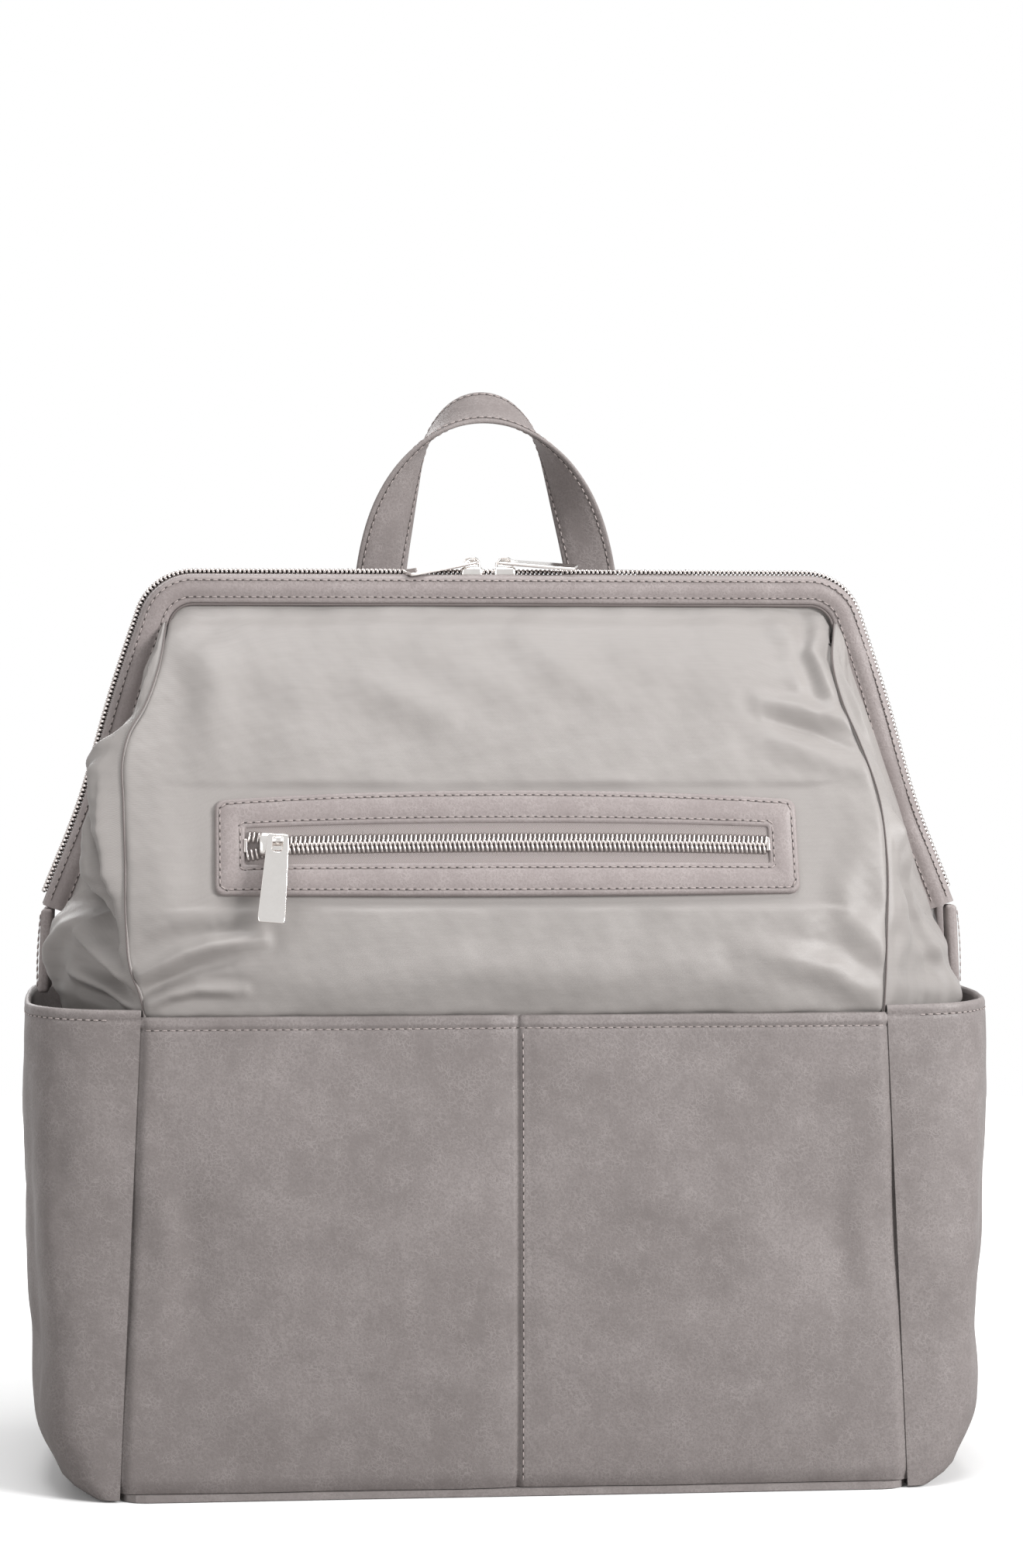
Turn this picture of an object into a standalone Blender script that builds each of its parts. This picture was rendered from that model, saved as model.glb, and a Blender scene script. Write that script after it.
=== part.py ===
"""Wide-mouth diaper backpack: a soft bag whose mouth is held by two wire hoops that swing apart.

Metres, +Z up. The front faces -Y, and the origin is the middle of the face that it rests on.
"""

import math

import bmesh
import bpy
from mathutils import Matrix, Vector

# ------------------------------------------------------------------ driving dimensions
GAP = 0.0003                # clearance between pieces that touch
LEATHER = 0.0024            # two layers of faux leather with a seam
NYLON = 0.0014
PADDING = 0.010

# Lower body
BASE_HALF_WIDTH = 0.1715
WAIST_HALF_WIDTH = 0.162    # at the leather's top edge
HALF_DEPTH = 0.085
WAIST_Z = 0.205
BOTTOM_THICKNESS = 0.003
POCKET_RIM_Z = 0.210
SILL_TOP_Z = 0.246
SILL_LEAN = 0.0035          # how far the sill leans back over its height
SILL_INSET = 0.002
SIDE_TOP_HALF_WIDTH = 0.158
SIDE_INSET = 0.006          # the side panel, behind the pocket's seam
SIDE_FRONT_INSET = 0.0056
BOTTOM_CORNER_RADIUS = 0.012
BOARD_SIZE = (0.312, 0.150, 0.003)
BOARD_Y = -0.005
BACK_PANEL_WIDTH = 0.322
BACK_PANEL_CLEAR = 0.0015   # below the rear upper panel
POCKET_LEVELS = (           # height, how far a side pocket stands out from the seam
    (0.0006, 0.016),
    (0.0150, 0.0325),
    (0.0700, 0.0430),
    (0.1400, 0.0500),
    (POCKET_RIM_Z, 0.0540),
)
POCKET_SQUARE = 0.55        # below 1 the pocket's plan is squarer than an ellipse
POCKET_STEPS = 12
POCKET_CLEAR = 0.0008

# Lining bucket
LINING_THICKNESS = 0.0008
LINING_LOW_Z = 0.0078
LINING_HIGH_Z = WAIST_Z - 0.005
LINING_HALF_WIDTH = 0.1535
LINING_FRONT_CLEAR = 0.003
LINING_BACK_CLEAR = 0.0015

# Mouth hoops: the outline of one hoop, seen from the front
HOOP_TOP_Z = 0.400
HOOP_FOOT = (0.2067, 0.2525)
HOOP_CORNER_HALF_WIDTH = 0.1565
HOOP_CORNER_RADIUS = 0.024
CORNER_STEPS = 8
BAND_HEIGHT = 0.0125
WIRE_RADIUS = 0.0016
HOOP_LAYERS = {             # distance from the mouth's middle plane: nearest and farthest
    "band": (0.0115, 0.0140),
    "wire": (0.0080, 0.0112),
    "tape": (0.0030, 0.0077),
    "teeth": (0.0002, 0.0027),
}
SLEEVE_SIZE = (0.0048, 0.0100, 0.0375)
SLEEVE_DROP = 0.0016        # from the hoop's foot to the sleeve's top
SLEEVE_X = 0.2060
SLEEVE_Y = 0.0125
HOOP_PIVOT = (0.0, -SLEEVE_Y, 0.215)

# Upper body: (distance from the middle plane, height, half width) up the front and up the back
FRONT_PROFILE = (
    (0.0825, 0.256, 0.167),
    (0.0615, 0.312, 0.171),
    (0.0400, 0.352, 0.165),
    (0.0165, 0.386, 0.153),
)
BACK_PROFILE = (
    (0.0848, 0.2625, 0.163),
    (0.0760, 0.305, 0.165),
    (0.0520, 0.348, 0.160),
    (0.0180, 0.386, 0.150),
)
REAR_PANEL_THICKNESS = 0.004

# Gussets, from the panels' side seams to the hoops' legs
GUSSET_LEVELS = 7
GUSSET_TOP_Z = 0.372
GUSSET_SEAM_CLEAR = 0.0016
GUSSET_BAND_CLEAR = 0.0006
GUSSET_SEAM_RISE = 0.014    # from the panel's lowest point
GUSSET_LEG_RISE = 0.004     # from the hoop's foot
GUSSET_BAND_SHARE = 0.6     # how far in over the band the gusset ends
GUSSET_LEAST_WIDTH = 0.0005

# Front zip pocket, in the plane of the panel
POCKET_LOW = Vector((0.0, -FRONT_PROFILE[0][0], FRONT_PROFILE[0][1]))
POCKET_HIGH = Vector((0.0, -FRONT_PROFILE[1][0], FRONT_PROFILE[1][1]))
POCKET_CENTRE_X = -0.003
POCKET_SIZE = (0.254, 0.043)
POCKET_RISE = 0.0045        # from the panel's lowest line to the pocket's lower edge
POCKET_CORNER_RADIUS = 0.004
POCKET_SLOT = (0.228, 0.0132)
SURROUND_THICKNESS = 0.0018
POCKET_TAPE_THICKNESS = 0.0006
POCKET_TEETH_HEIGHT = 0.0016        # from the tape's face to the teeth's top
POCKET_TEETH_WIDTH = 0.0068
POCKET_SLIDER_X = -0.103
POUCH_SIZE = (0.236, 0.0030, 0.034)

# Handle: a ribbon that lies flat against the back at its feet and turns to lie flat in the hand
HANDLE_HALF_SPAN = 0.0495
HANDLE_FOOT = (0.0360, 0.3700)      # y, z
HANDLE_TOP_Z = 0.477
HANDLE_WIDTH = 0.0235
HANDLE_STEPS = 28
HANDLE_START_TURN = math.radians(-90)
HANDLE_TOP_TURN = math.radians(30)

# Shoulder straps
STRAP_X = 0.078
ANCHOR_WIDTH = 0.0245
ANCHOR_PATH = (             # y, z over the rear band and down to the strap
    (0.0175, 0.3925),
    (0.0190, 0.4005),
    (0.0235, 0.4005),
    (0.0300, 0.3880),
    (0.0350, 0.3700),
)
ANCHOR_THICKNESS = 0.0022
STRAP_HEIGHTS = (0.3640, 0.3480, 0.3050, 0.2625, 0.2100, 0.1700, 0.1400)
STRAP_WIDTHS = (0.026, 0.032, 0.052, 0.058, 0.058, 0.050, 0.040)
STRAP_DRIFT = 0.012         # how far a strap moves outwards on its way down
STRAP_CLEAR = 0.0012
TAB_SIZE = (0.030, 0.0036, 0.022)
TUNNEL_CLEAR = (0.0012, 0.0010)     # across and through the webbing
WEBBING_WIDTH = 0.025
WEBBING_THICKNESS = 0.0016
WEBBING_TOP = Vector((0.0905, 0.0884, 0.1325))
WEBBING_LOW = Vector((0.1440, 0.0884, 0.0400))
ADJUSTER_SIZE = (0.0320, 0.0052, 0.0200)
ADJUSTER_ALONG = 0.35               # share of the webbing's length from its upper end

# Sliders and pullers
TOP_SLIDERS_X = {"left": -0.0135, "right": 0.0015}
SLIDER_SIZE = (0.0100, 0.0088, 0.0034)
SLIDER_LIFT = 0.0008
BAR_RADIUS = 0.0008
BAR_HEIGHT = 0.0068                 # from the teeth to the bar's middle
EYE_RADIUS = 0.0022
EYE_HOLE_RADIUS = 0.0013
EYE_WIDTH = 0.0042
TOP_PULLER = (0.0290, 0.0088, 0.0013)
POCKET_PULLER = (0.0345, 0.0104, 0.0013)

# ------------------------------------------------------------------ materials
NYLON_LOOK = ("twill_nylon", (0.54, 0.51, 0.495), 0.55, 0.0)
LEATHER_LOOK = ("faux_leather", (0.34, 0.30, 0.29), 0.50, 0.0)
LINING_LOOK = ("lining", (0.10, 0.09, 0.085), 0.70, 0.0)
METAL_LOOK = ("nickel", (0.72, 0.70, 0.68), 0.25, 1.0)
WIRE_LOOK = ("steel_wire", (0.45, 0.45, 0.46), 0.35, 1.0)
TAPE_LOOK = ("zip_tape", (0.47, 0.41, 0.40), 0.70, 0.0)
WEBBING_LOOK = ("webbing", (0.36, 0.33, 0.31), 0.75, 0.0)
BOARD_LOOK = ("base_board", (0.06, 0.06, 0.06), 0.60, 0.0)
BACK_LOOK = ("back_fabric", (0.38, 0.35, 0.33), 0.80, 0.0)

SIDES = {"left": -1.0, "right": 1.0}


def clear_scene():
    for old in list(bpy.data.objects):
        bpy.data.objects.remove(old, do_unlink=True)


def new_collection(name):
    collection = bpy.data.collections.new(name)
    bpy.context.scene.collection.children.link(collection)
    return collection


def material(look):
    name, colour, roughness, metallic = look
    found = bpy.data.materials.get(name)
    if found:
        return found
    made = bpy.data.materials.new(name)
    made.use_nodes = True
    shader = made.node_tree.nodes["Principled BSDF"]
    shader.inputs["Base Color"].default_value = (*colour, 1.0)
    shader.inputs["Roughness"].default_value = roughness
    shader.inputs["Metallic"].default_value = metallic
    return made


clear_scene()
BAG = new_collection("diaper_bag")
CUTTERS = new_collection("cutters")


# ------------------------------------------------------------------ building helpers
def add(name, data, look, body=None):
    """A new object of the bag, kept where it is in the world and carried by body, an empty."""
    obj = bpy.data.objects.new(name, data)
    data.materials.append(material(look))
    BAG.objects.link(obj)
    carry(obj, body)
    return obj


def carry(obj, body):
    if body:
        obj.parent = body
        obj.matrix_parent_inverse = body.matrix_world.inverted()


def joint_empty(name, place, parent=None):
    empty = bpy.data.objects.new(name, None)
    empty.location = place
    BAG.objects.link(empty)
    if parent:
        carry(empty, parent)
    bpy.context.view_layer.update()
    return empty


def mesh_from(bm, name, smooth=False):
    mesh = bpy.data.meshes.new(name)
    bm.to_mesh(mesh)
    bm.free()
    if smooth:
        mesh.shade_smooth()
        mesh.set_sharp_from_angle(angle=math.radians(35))
    return mesh


def sheet(name, rows, thickness, outward, look, body=None, floor=False, side=-1.0):
    """An open surface through rows of points, thickened by Solidify.

    outward is the way that the surface faces. side is -1 to thicken away from it, 1 towards it.
    floor closes the first row with a face.
    """
    bm = bmesh.new()
    grid = [[bm.verts.new(point) for point in row] for row in rows]
    for low, high in zip(grid, grid[1:]):
        for i in range(len(low) - 1):
            bm.faces.new((low[i], low[i + 1], high[i + 1], high[i]))
    walls = list(bm.faces)
    if floor:
        bm.faces.new(grid[0])
    bmesh.ops.recalc_face_normals(bm, faces=bm.faces)
    bm.normal_update()
    facing = sum((face.normal * face.calc_area() for face in walls), Vector())
    if facing.dot(Vector(outward)) < 0:
        bmesh.ops.reverse_faces(bm, faces=bm.faces)
    obj = add(name, mesh_from(bm, name, smooth=True), look, body)
    solidify = obj.modifiers.new("thickness", "SOLIDIFY")
    solidify.thickness = thickness
    solidify.offset = side
    solidify.use_even_offset = True
    return obj


def box(name, size, centre, look, body=None, bevel=0.0, turn=None):
    """A cube of the given size with its edges rounded by a Bevel modifier."""
    bm = bmesh.new()
    bmesh.ops.create_cube(bm, size=1.0)
    bmesh.ops.scale(bm, vec=size, verts=bm.verts)
    if turn:
        bmesh.ops.transform(bm, matrix=turn, verts=bm.verts)
    bmesh.ops.translate(bm, vec=centre, verts=bm.verts)
    obj = add(name, mesh_from(bm, name), look, body)
    if bevel:
        rounding = obj.modifiers.new("rounding", "BEVEL")
        rounding.width = bevel
        rounding.segments = 2
    return obj


def flat_curve(name, outlines, thickness):
    """A filled 2D curve through closed outlines, in its own XY plane."""
    curve = bpy.data.curves.new(name, "CURVE")
    curve.dimensions = "2D"
    curve.fill_mode = "BOTH"
    curve.extrude = thickness / 2
    for outline in outlines:
        spline = curve.splines.new("POLY")
        spline.points.add(len(outline) - 1)
        for point, (x, y) in zip(spline.points, outline):
            point.co = (x, y, 0.0, 1.0)
        spline.use_cyclic_u = True
    return curve


def upright(name, outlines, near_y, far_y, look, body=None):
    """A flat piece drawn in the XZ plane that fills near_y to far_y."""
    curve = flat_curve(name, outlines, abs(far_y - near_y))
    obj = add(name, curve, look, body)
    place = Matrix.Translation((0.0, (near_y + far_y) / 2, 0.0))
    obj.matrix_world = place @ Matrix.Rotation(math.radians(90), 4, "X")
    return obj


def wire(name, points, radius, look, body=None):
    curve = bpy.data.curves.new(name, "CURVE")
    curve.dimensions = "3D"
    curve.bevel_depth = radius
    curve.bevel_resolution = 2
    curve.use_fill_caps = True
    spline = curve.splines.new("POLY")
    spline.points.add(len(points) - 1)
    for point, place in zip(spline.points, points):
        point.co = (*place, 1.0)
    return add(name, curve, look, body)


def as_mesh(obj):
    """Turns a curve object into a mesh object of the same name, so that a Boolean can use it."""
    bpy.context.view_layer.update()
    graph = bpy.context.evaluated_depsgraph_get()
    mesh = bpy.data.meshes.new_from_object(obj.evaluated_get(graph))
    bm = bmesh.new()
    bm.from_mesh(mesh)
    bmesh.ops.remove_doubles(bm, verts=bm.verts, dist=1e-6)
    bmesh.ops.recalc_face_normals(bm, faces=bm.faces)
    bm.to_mesh(mesh)
    bm.free()
    name = obj.name
    body = obj.parent
    place = obj.matrix_world.copy()
    collection = obj.users_collection[0]
    bpy.data.objects.remove(obj, do_unlink=True)
    made = bpy.data.objects.new(name, mesh)
    collection.objects.link(made)
    carry(made, body)
    made.matrix_world = place
    return made


def combine(obj, other, operation):
    """Joins other to obj, or cuts it from obj, and keeps other among the cutters."""
    BAG.objects.unlink(other)
    CUTTERS.objects.link(other)
    other.hide_render = True
    other.display_type = "WIRE"
    boolean = obj.modifiers.new(operation.lower(), "BOOLEAN")
    boolean.operation = operation
    boolean.solver = "EXACT"
    boolean.object = other


# ------------------------------------------------------------------ outlines and profiles
def rounded_rectangle(width, height, radius, steps=4, centre=(0.0, 0.0)):
    points = []
    for corner in range(4):
        start = corner * math.pi / 2
        cx = centre[0] + (width / 2 - radius) * (1 if corner in (0, 3) else -1)
        cy = centre[1] + (height / 2 - radius) * (1 if corner in (0, 1) else -1)
        for i in range(steps + 1):
            angle = start + i / steps * math.pi / 2
            points.append((cx + radius * math.cos(angle), cy + radius * math.sin(angle)))
    return points


def hoop_outline(inset):
    """(x, z) points of the mouth hoop from its left foot to its right foot, moved in by inset."""
    foot = Vector(HOOP_FOOT)
    corner = Vector((HOOP_CORNER_HALF_WIDTH, HOOP_TOP_Z))
    leg = (corner - foot).normalized()
    lean = math.atan2(leg.y, -leg.x)             # the leg's angle to the top's line
    reach = HOOP_CORNER_RADIUS / math.tan((math.pi - lean) / 2)
    centre = Vector((corner.x - reach, HOOP_TOP_Z - HOOP_CORNER_RADIUS))
    radius = HOOP_CORNER_RADIUS - inset
    start = math.pi / 2 - lean                   # the leg's outward normal
    inward = Vector((-math.cos(start), -math.sin(start)))
    right = [foot + inward * inset]
    for i in range(CORNER_STEPS + 1):
        angle = start + i / CORNER_STEPS * (math.pi / 2 - start)
        right.append(centre + radius * Vector((math.cos(angle), math.sin(angle))))
    left = [Vector((-point.x, point.y)) for point in right]
    return left + right[::-1]


def hoop_strip(outer_inset, inner_inset):
    outer = [tuple(point) for point in hoop_outline(outer_inset)]
    inner = [tuple(point) for point in hoop_outline(inner_inset)]
    return outer + inner[::-1]


def seam_half_width(z):
    """Half width of the lower body at height z."""
    share = z / WAIST_Z
    return BASE_HALF_WIDTH + (WAIST_HALF_WIDTH - BASE_HALF_WIDTH) * share


def along(profile, z):
    """(depth, half width) of a profile at height z, by straight lines between its points."""
    for (y0, z0, w0), (y1, z1, w1) in zip(profile, profile[1:]):
        if z <= z1:
            share = (z - z0) / (z1 - z0)
            return y0 + (y1 - y0) * share, w0 + (w1 - w0) * share
    return profile[-1][0], profile[-1][2]


def leg_half_width(z, inset):
    """Half width between the hoop's legs at height z, moved in by inset."""
    foot = Vector(HOOP_FOOT)
    slope = (HOOP_CORNER_HALF_WIDTH - foot.x) / (HOOP_TOP_Z - foot.y)
    return foot.x + slope * (z - foot.y) - inset


# ------------------------------------------------------------------ lower body
def make_lower_body():
    outline = rounded_rectangle(
        2 * BASE_HALF_WIDTH,
        2 * HALF_DEPTH + LEATHER,
        BOTTOM_CORNER_RADIUS,
        centre=(0.0, -LEATHER / 2),
    )
    bottom = add("bottom_panel", flat_curve("bottom_panel", [outline], BOTTOM_THICKNESS), LEATHER_LOOK)
    bottom.location.z = BOTTOM_THICKNESS / 2

    low = BOTTOM_THICKNESS + GAP
    box("base_board", BOARD_SIZE, (0.0, BOARD_Y, low + BOARD_SIZE[2] / 2), BOARD_LOOK, bevel=0.0005)

    bottom_half = seam_half_width(low)
    top_half = seam_half_width(WAIST_Z)
    front = [(-bottom_half, low), (bottom_half, low), (top_half, WAIST_Z), (-top_half, WAIST_Z)]
    upright("front_lower_panel", [front], -HALF_DEPTH, -HALF_DEPTH - LEATHER, LEATHER_LOOK)

    sill_low = WAIST_Z + GAP
    sill_rows = []
    for share in (0.0, 0.5, 1.0):
        z = sill_low + (SILL_TOP_Z - sill_low) * share
        half = WAIST_HALF_WIDTH - SILL_INSET
        y = -HALF_DEPTH + SILL_LEAN * share
        sill_rows.append([(-half, y, z), (0.0, y, z), (half, y, z)])
    sheet("front_fabric_sill", sill_rows, NYLON, (0, -1, 0), NYLON_LOOK)

    back_height = BACK_PROFILE[0][1] - BACK_PANEL_CLEAR - low
    box(
        "back_panel",
        (BACK_PANEL_WIDTH, PADDING, back_height),
        (0.0, HALF_DEPTH - PADDING / 2, low + back_height / 2),
        BACK_LOOK,
        bevel=0.003,
    )


def make_side(side, sign):
    """The flat side panel and the puffed pocket on it."""
    front_y = -HALF_DEPTH + SIDE_FRONT_INSET
    back_y = HALF_DEPTH - PADDING - GAP
    low = BOTTOM_THICKNESS + GAP
    rows = []
    for z in (low, WAIST_Z, SILL_TOP_Z):
        half = seam_half_width(z) - SIDE_INSET if z < SILL_TOP_Z else SIDE_TOP_HALF_WIDTH - NYLON
        rows.append([(sign * half, front_y, z), (sign * half, back_y, z)])
    sheet(f"side_panel_{side}", rows, NYLON, (sign, 0, 0), NYLON_LOOK)

    rows = []
    for z, bulge in POCKET_LEVELS:
        seam = seam_half_width(z) + POCKET_CLEAR
        row = []
        for i in range(POCKET_STEPS + 1):
            angle = math.pi * i / POCKET_STEPS
            cosine = math.cos(angle)
            out = bulge * math.sin(angle) ** POCKET_SQUARE if 0 < i < POCKET_STEPS else 0.0
            y = -HALF_DEPTH * math.copysign(abs(cosine) ** POCKET_SQUARE, cosine)
            row.append((sign * (seam + out), y, z))
        rows.append(row)
    sheet(f"side_pocket_{side}", rows, LEATHER, (sign, 0, 0), LEATHER_LOOK, floor=True)


def make_lining():
    """A lining bucket, open at the top, just inside the lower walls."""
    half_x = LINING_HALF_WIDTH
    front_y = -HALF_DEPTH + LINING_FRONT_CLEAR
    back_y = HALF_DEPTH - PADDING - LINING_BACK_CLEAR
    ring = [(-half_x, front_y), (half_x, front_y), (half_x, back_y), (-half_x, back_y)]
    bm = bmesh.new()
    bottom = [bm.verts.new((x, y, LINING_LOW_Z)) for x, y in ring]
    top = [bm.verts.new((x, y, LINING_HIGH_Z)) for x, y in ring]
    bm.faces.new(bottom[::-1])
    for i in range(len(ring)):
        j = (i + 1) % len(ring)
        bm.faces.new((bottom[i], bottom[j], top[j], top[i]))
    bmesh.ops.recalc_face_normals(bm, faces=bm.faces)
    obj = add("lining", mesh_from(bm, "lining"), LINING_LOOK)
    solidify = obj.modifiers.new("thickness", "SOLIDIFY")
    solidify.thickness = LINING_THICKNESS
    solidify.offset = -1.0
    solidify.use_even_offset = True


# ------------------------------------------------------------------ mouth hoops
def make_hoop(which, sign, body):
    """Band, wire, zip tape, teeth and leg sleeves of one hoop. sign is -1 at the front."""
    strips = (
        ("band", f"{which}_frame_band", 0.0, BAND_HEIGHT, LEATHER_LOOK),
        ("tape", f"{which}_zip_tape", 0.0008, 0.0016, TAPE_LOOK),
        ("teeth", f"{which}_zip_teeth", 0.0, 0.0024, METAL_LOOK),
    )
    for layer, name, outer, inner, look in strips:
        near, far = HOOP_LAYERS[layer]
        upright(name, [hoop_strip(outer, inner)], sign * near, sign * far, look, body)
    near, far = HOOP_LAYERS["wire"]
    wire_y = sign * (near + far) / 2
    path = [(x, wire_y, z) for x, z in hoop_outline(BAND_HEIGHT / 2)]
    wire(f"{which}_frame_wire", path, WIRE_RADIUS, WIRE_LOOK, body)
    for side, x_sign in SIDES.items():
        height = SLEEVE_SIZE[2]
        centre = (x_sign * SLEEVE_X, sign * SLEEVE_Y, HOOP_FOOT[1] - SLEEVE_DROP - height / 2)
        name = f"{which}_zip_sleeve_{side}"
        box(name, SLEEVE_SIZE, centre, LEATHER_LOOK, body, bevel=0.001)


def make_upper_shell(which, profile, sign, body):
    """The panel below one hoop, and the half gussets from its side seams to the hoop's legs."""
    rows = []
    for depth, z, half in profile:
        rows.append([(half * share, sign * depth, z) for share in (-1.0, -0.5, 0.0, 0.5, 1.0)])
    if which == "rear":
        sheet("rear_upper_panel", rows, REAR_PANEL_THICKNESS, (0, sign, 0.5), BACK_LOOK, body)
    else:
        sheet("front_upper_panel", rows, NYLON, (0, sign, 0.5), NYLON_LOOK, body)

    leg_y = HOOP_LAYERS["band"][1] + GUSSET_BAND_CLEAR
    seam_low_z = profile[0][1] + GUSSET_SEAM_RISE
    leg_low_z = HOOP_FOOT[1] + GUSSET_LEG_RISE
    over_band = BAND_HEIGHT * GUSSET_BAND_SHARE
    for side, x_sign in SIDES.items():
        gusset = []
        for i in range(GUSSET_LEVELS):
            share = i / (GUSSET_LEVELS - 1)
            seam_z = seam_low_z + (GUSSET_TOP_Z - seam_low_z) * share
            leg_z = leg_low_z + (GUSSET_TOP_Z - leg_low_z) * share
            depth, half = along(profile, seam_z)
            seam_x = half + GUSSET_SEAM_CLEAR
            leg_x = max(leg_half_width(leg_z, over_band), seam_x + GUSSET_LEAST_WIDTH)
            start = Vector((x_sign * seam_x, sign * depth, seam_z))
            end = Vector((x_sign * leg_x, sign * leg_y, leg_z))
            gusset.append([start, start.lerp(end, 0.5), end])
        sheet(f"{which}_gusset_{side}", gusset, NYLON, (x_sign, 0, 0), NYLON_LOOK, body, side=1.0)


# ------------------------------------------------------------------ front pocket
def pocket_plane():
    """Matrix of the pocket: X across, Y up along the panel, Z out of the panel."""
    up = (POCKET_HIGH - POCKET_LOW).normalized()
    across = Vector((1.0, 0.0, 0.0))
    out = across.cross(up)
    rotation = Matrix((across, up, out)).transposed().to_4x4()
    centre = POCKET_LOW + up * (POCKET_SIZE[1] / 2 + POCKET_RISE)
    centre.x = POCKET_CENTRE_X
    return Matrix.Translation(centre) @ rotation


def on_pocket(name, outlines, low, high, look, body):
    """A flat piece in the pocket's plane that fills low to high above the panel."""
    obj = add(name, flat_curve(name, outlines, high - low), look, body)
    obj.matrix_world = pocket_plane() @ Matrix.Translation((0.0, 0.0, (low + high) / 2))
    return obj


def make_pocket(body):
    low = GAP
    high = low + SURROUND_THICKNESS
    outer = rounded_rectangle(*POCKET_SIZE, POCKET_CORNER_RADIUS)
    slot = rounded_rectangle(*POCKET_SLOT, 0.0008, steps=1)
    on_pocket("pocket_surround", [outer, slot], low, high, LEATHER_LOOK, body)

    tape_width = POCKET_SLOT[0] - 2 * GAP
    tape_height = POCKET_SLOT[1] - 2 * GAP
    tape_top = low + POCKET_TAPE_THICKNESS
    teeth_top = tape_top + POCKET_TEETH_HEIGHT
    tape = rounded_rectangle(tape_width, tape_height, 0.0006, steps=1)
    on_pocket("pocket_zip_tape", [tape], low, tape_top, TAPE_LOOK, body)
    teeth = rounded_rectangle(tape_width - 0.002, POCKET_TEETH_WIDTH, 0.001, steps=2)
    on_pocket("pocket_zip_teeth", [teeth], tape_top + GAP, teeth_top, METAL_LOOK, body)

    behind = -NYLON - GAP - POUCH_SIZE[1]
    pouch = rounded_rectangle(POUCH_SIZE[0], POUCH_SIZE[2], 0.006)
    on_pocket("pocket_pouch", [pouch], behind, behind + POUCH_SIZE[1], LINING_LOOK, body)
    return teeth_top


# ------------------------------------------------------------------ sliders and pullers
def make_slider(name, place, body):
    """A slider on the plane of place: X along the bar that the puller turns on, Z out of the zip."""
    along_bar, along_zip, thick = SLIDER_SIZE
    base = box(name, (along_bar, along_zip, thick), (0, 0, SLIDER_LIFT + thick / 2), METAL_LOOK)
    post_x = EYE_WIDTH / 2 + 2 * GAP + BAR_RADIUS
    low = SLIDER_LIFT + thick / 2
    arch = [(-post_x, 0, low), (-post_x, 0, BAR_HEIGHT), (post_x, 0, BAR_HEIGHT), (post_x, 0, low)]
    bar = as_mesh(wire(f"{name}_bar", arch, BAR_RADIUS, METAL_LOOK))
    combine(base, bar, "UNION")
    for obj in (base, bar):
        carry(obj, body)
        obj.matrix_world = place
    return base


def make_puller(name, place, size, body):
    """A flat puller that lies along +Y of place, with an eye round the slider's bar."""
    length, width, thickness = size
    steps = 16
    turns = [2 * math.pi * i / steps for i in range(steps)]
    ring = [(EYE_RADIUS * math.cos(a), EYE_RADIUS * math.sin(a)) for a in turns]
    hole = [(EYE_HOLE_RADIUS * math.cos(a), EYE_HOLE_RADIUS * math.sin(a)) for a in turns]
    eye = as_mesh(add(name, flat_curve(name, [ring, hole], EYE_WIDTH), METAL_LOOK))
    eye.data.transform(Matrix.Rotation(math.radians(90), 4, "Y"))
    start = EYE_RADIUS - 0.0005
    reach = length - start
    plate = box(f"{name}_plate", (width, reach, thickness), (0, start + reach / 2, 0), METAL_LOOK)
    combine(eye, plate, "UNION")
    for obj in (eye, plate):
        carry(obj, body)
        obj.matrix_world = place
    return eye


def make_top_sliders():
    for side, sign in SIDES.items():
        x = TOP_SLIDERS_X[side]
        bar_place = Vector((x, 0.0, HOOP_TOP_Z + BAR_HEIGHT))
        slider = joint_empty(f"top_slider_{side}_joint", (x, 0.0, HOOP_TOP_Z))
        puller = joint_empty(f"top_puller_{side}_joint", bar_place, slider)
        # The bar lies along world Y, and the puller points away from the mouth's middle.
        turn = Matrix.Rotation(math.radians(-90 * sign), 4, "Z")
        base = Matrix.Translation((x, 0.0, HOOP_TOP_Z)) @ turn
        make_slider(f"top_slider_{side}", base, slider)
        make_puller(f"top_puller_{side}", Matrix.Translation(bar_place) @ turn, TOP_PULLER, puller)


def make_pocket_slider(body, teeth_top):
    plane = pocket_plane() @ Matrix.Translation((POCKET_SLIDER_X - POCKET_CENTRE_X, 0.0, teeth_top))
    bar = plane @ Matrix.Translation((0.0, 0.0, BAR_HEIGHT))
    slider = joint_empty("pocket_slider_joint", plane.translation, body)
    puller = joint_empty("pocket_puller_joint", bar.translation, slider)
    make_slider("pocket_slider", plane, slider)
    down = Matrix.Rotation(math.radians(180), 4, "Z")
    make_puller("pocket_puller", bar @ down, POCKET_PULLER, puller)


# ------------------------------------------------------------------ handle and straps
def handle_edges(angle):
    """The front and back edge points of the ribbon at angle, 0 at the left foot, pi at the right."""
    rise = HANDLE_TOP_Z - HANDLE_FOOT[1]
    centre = Vector((
        -HANDLE_HALF_SPAN * math.cos(angle),
        HANDLE_FOOT[0],
        HANDLE_FOOT[1] + rise * math.sin(angle),
    ))
    along_x = HANDLE_HALF_SPAN * math.sin(angle)
    along_z = rise * math.cos(angle)
    outward = Vector((-along_z, 0.0, along_x)).normalized()
    turn = HANDLE_START_TURN + (HANDLE_TOP_TURN - HANDLE_START_TURN) * math.sin(angle)
    across = math.sin(turn) * outward + math.cos(turn) * Vector((0.0, 1.0, 0.0))
    reach = across * HANDLE_WIDTH / 2
    return centre - reach, centre + reach


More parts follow.
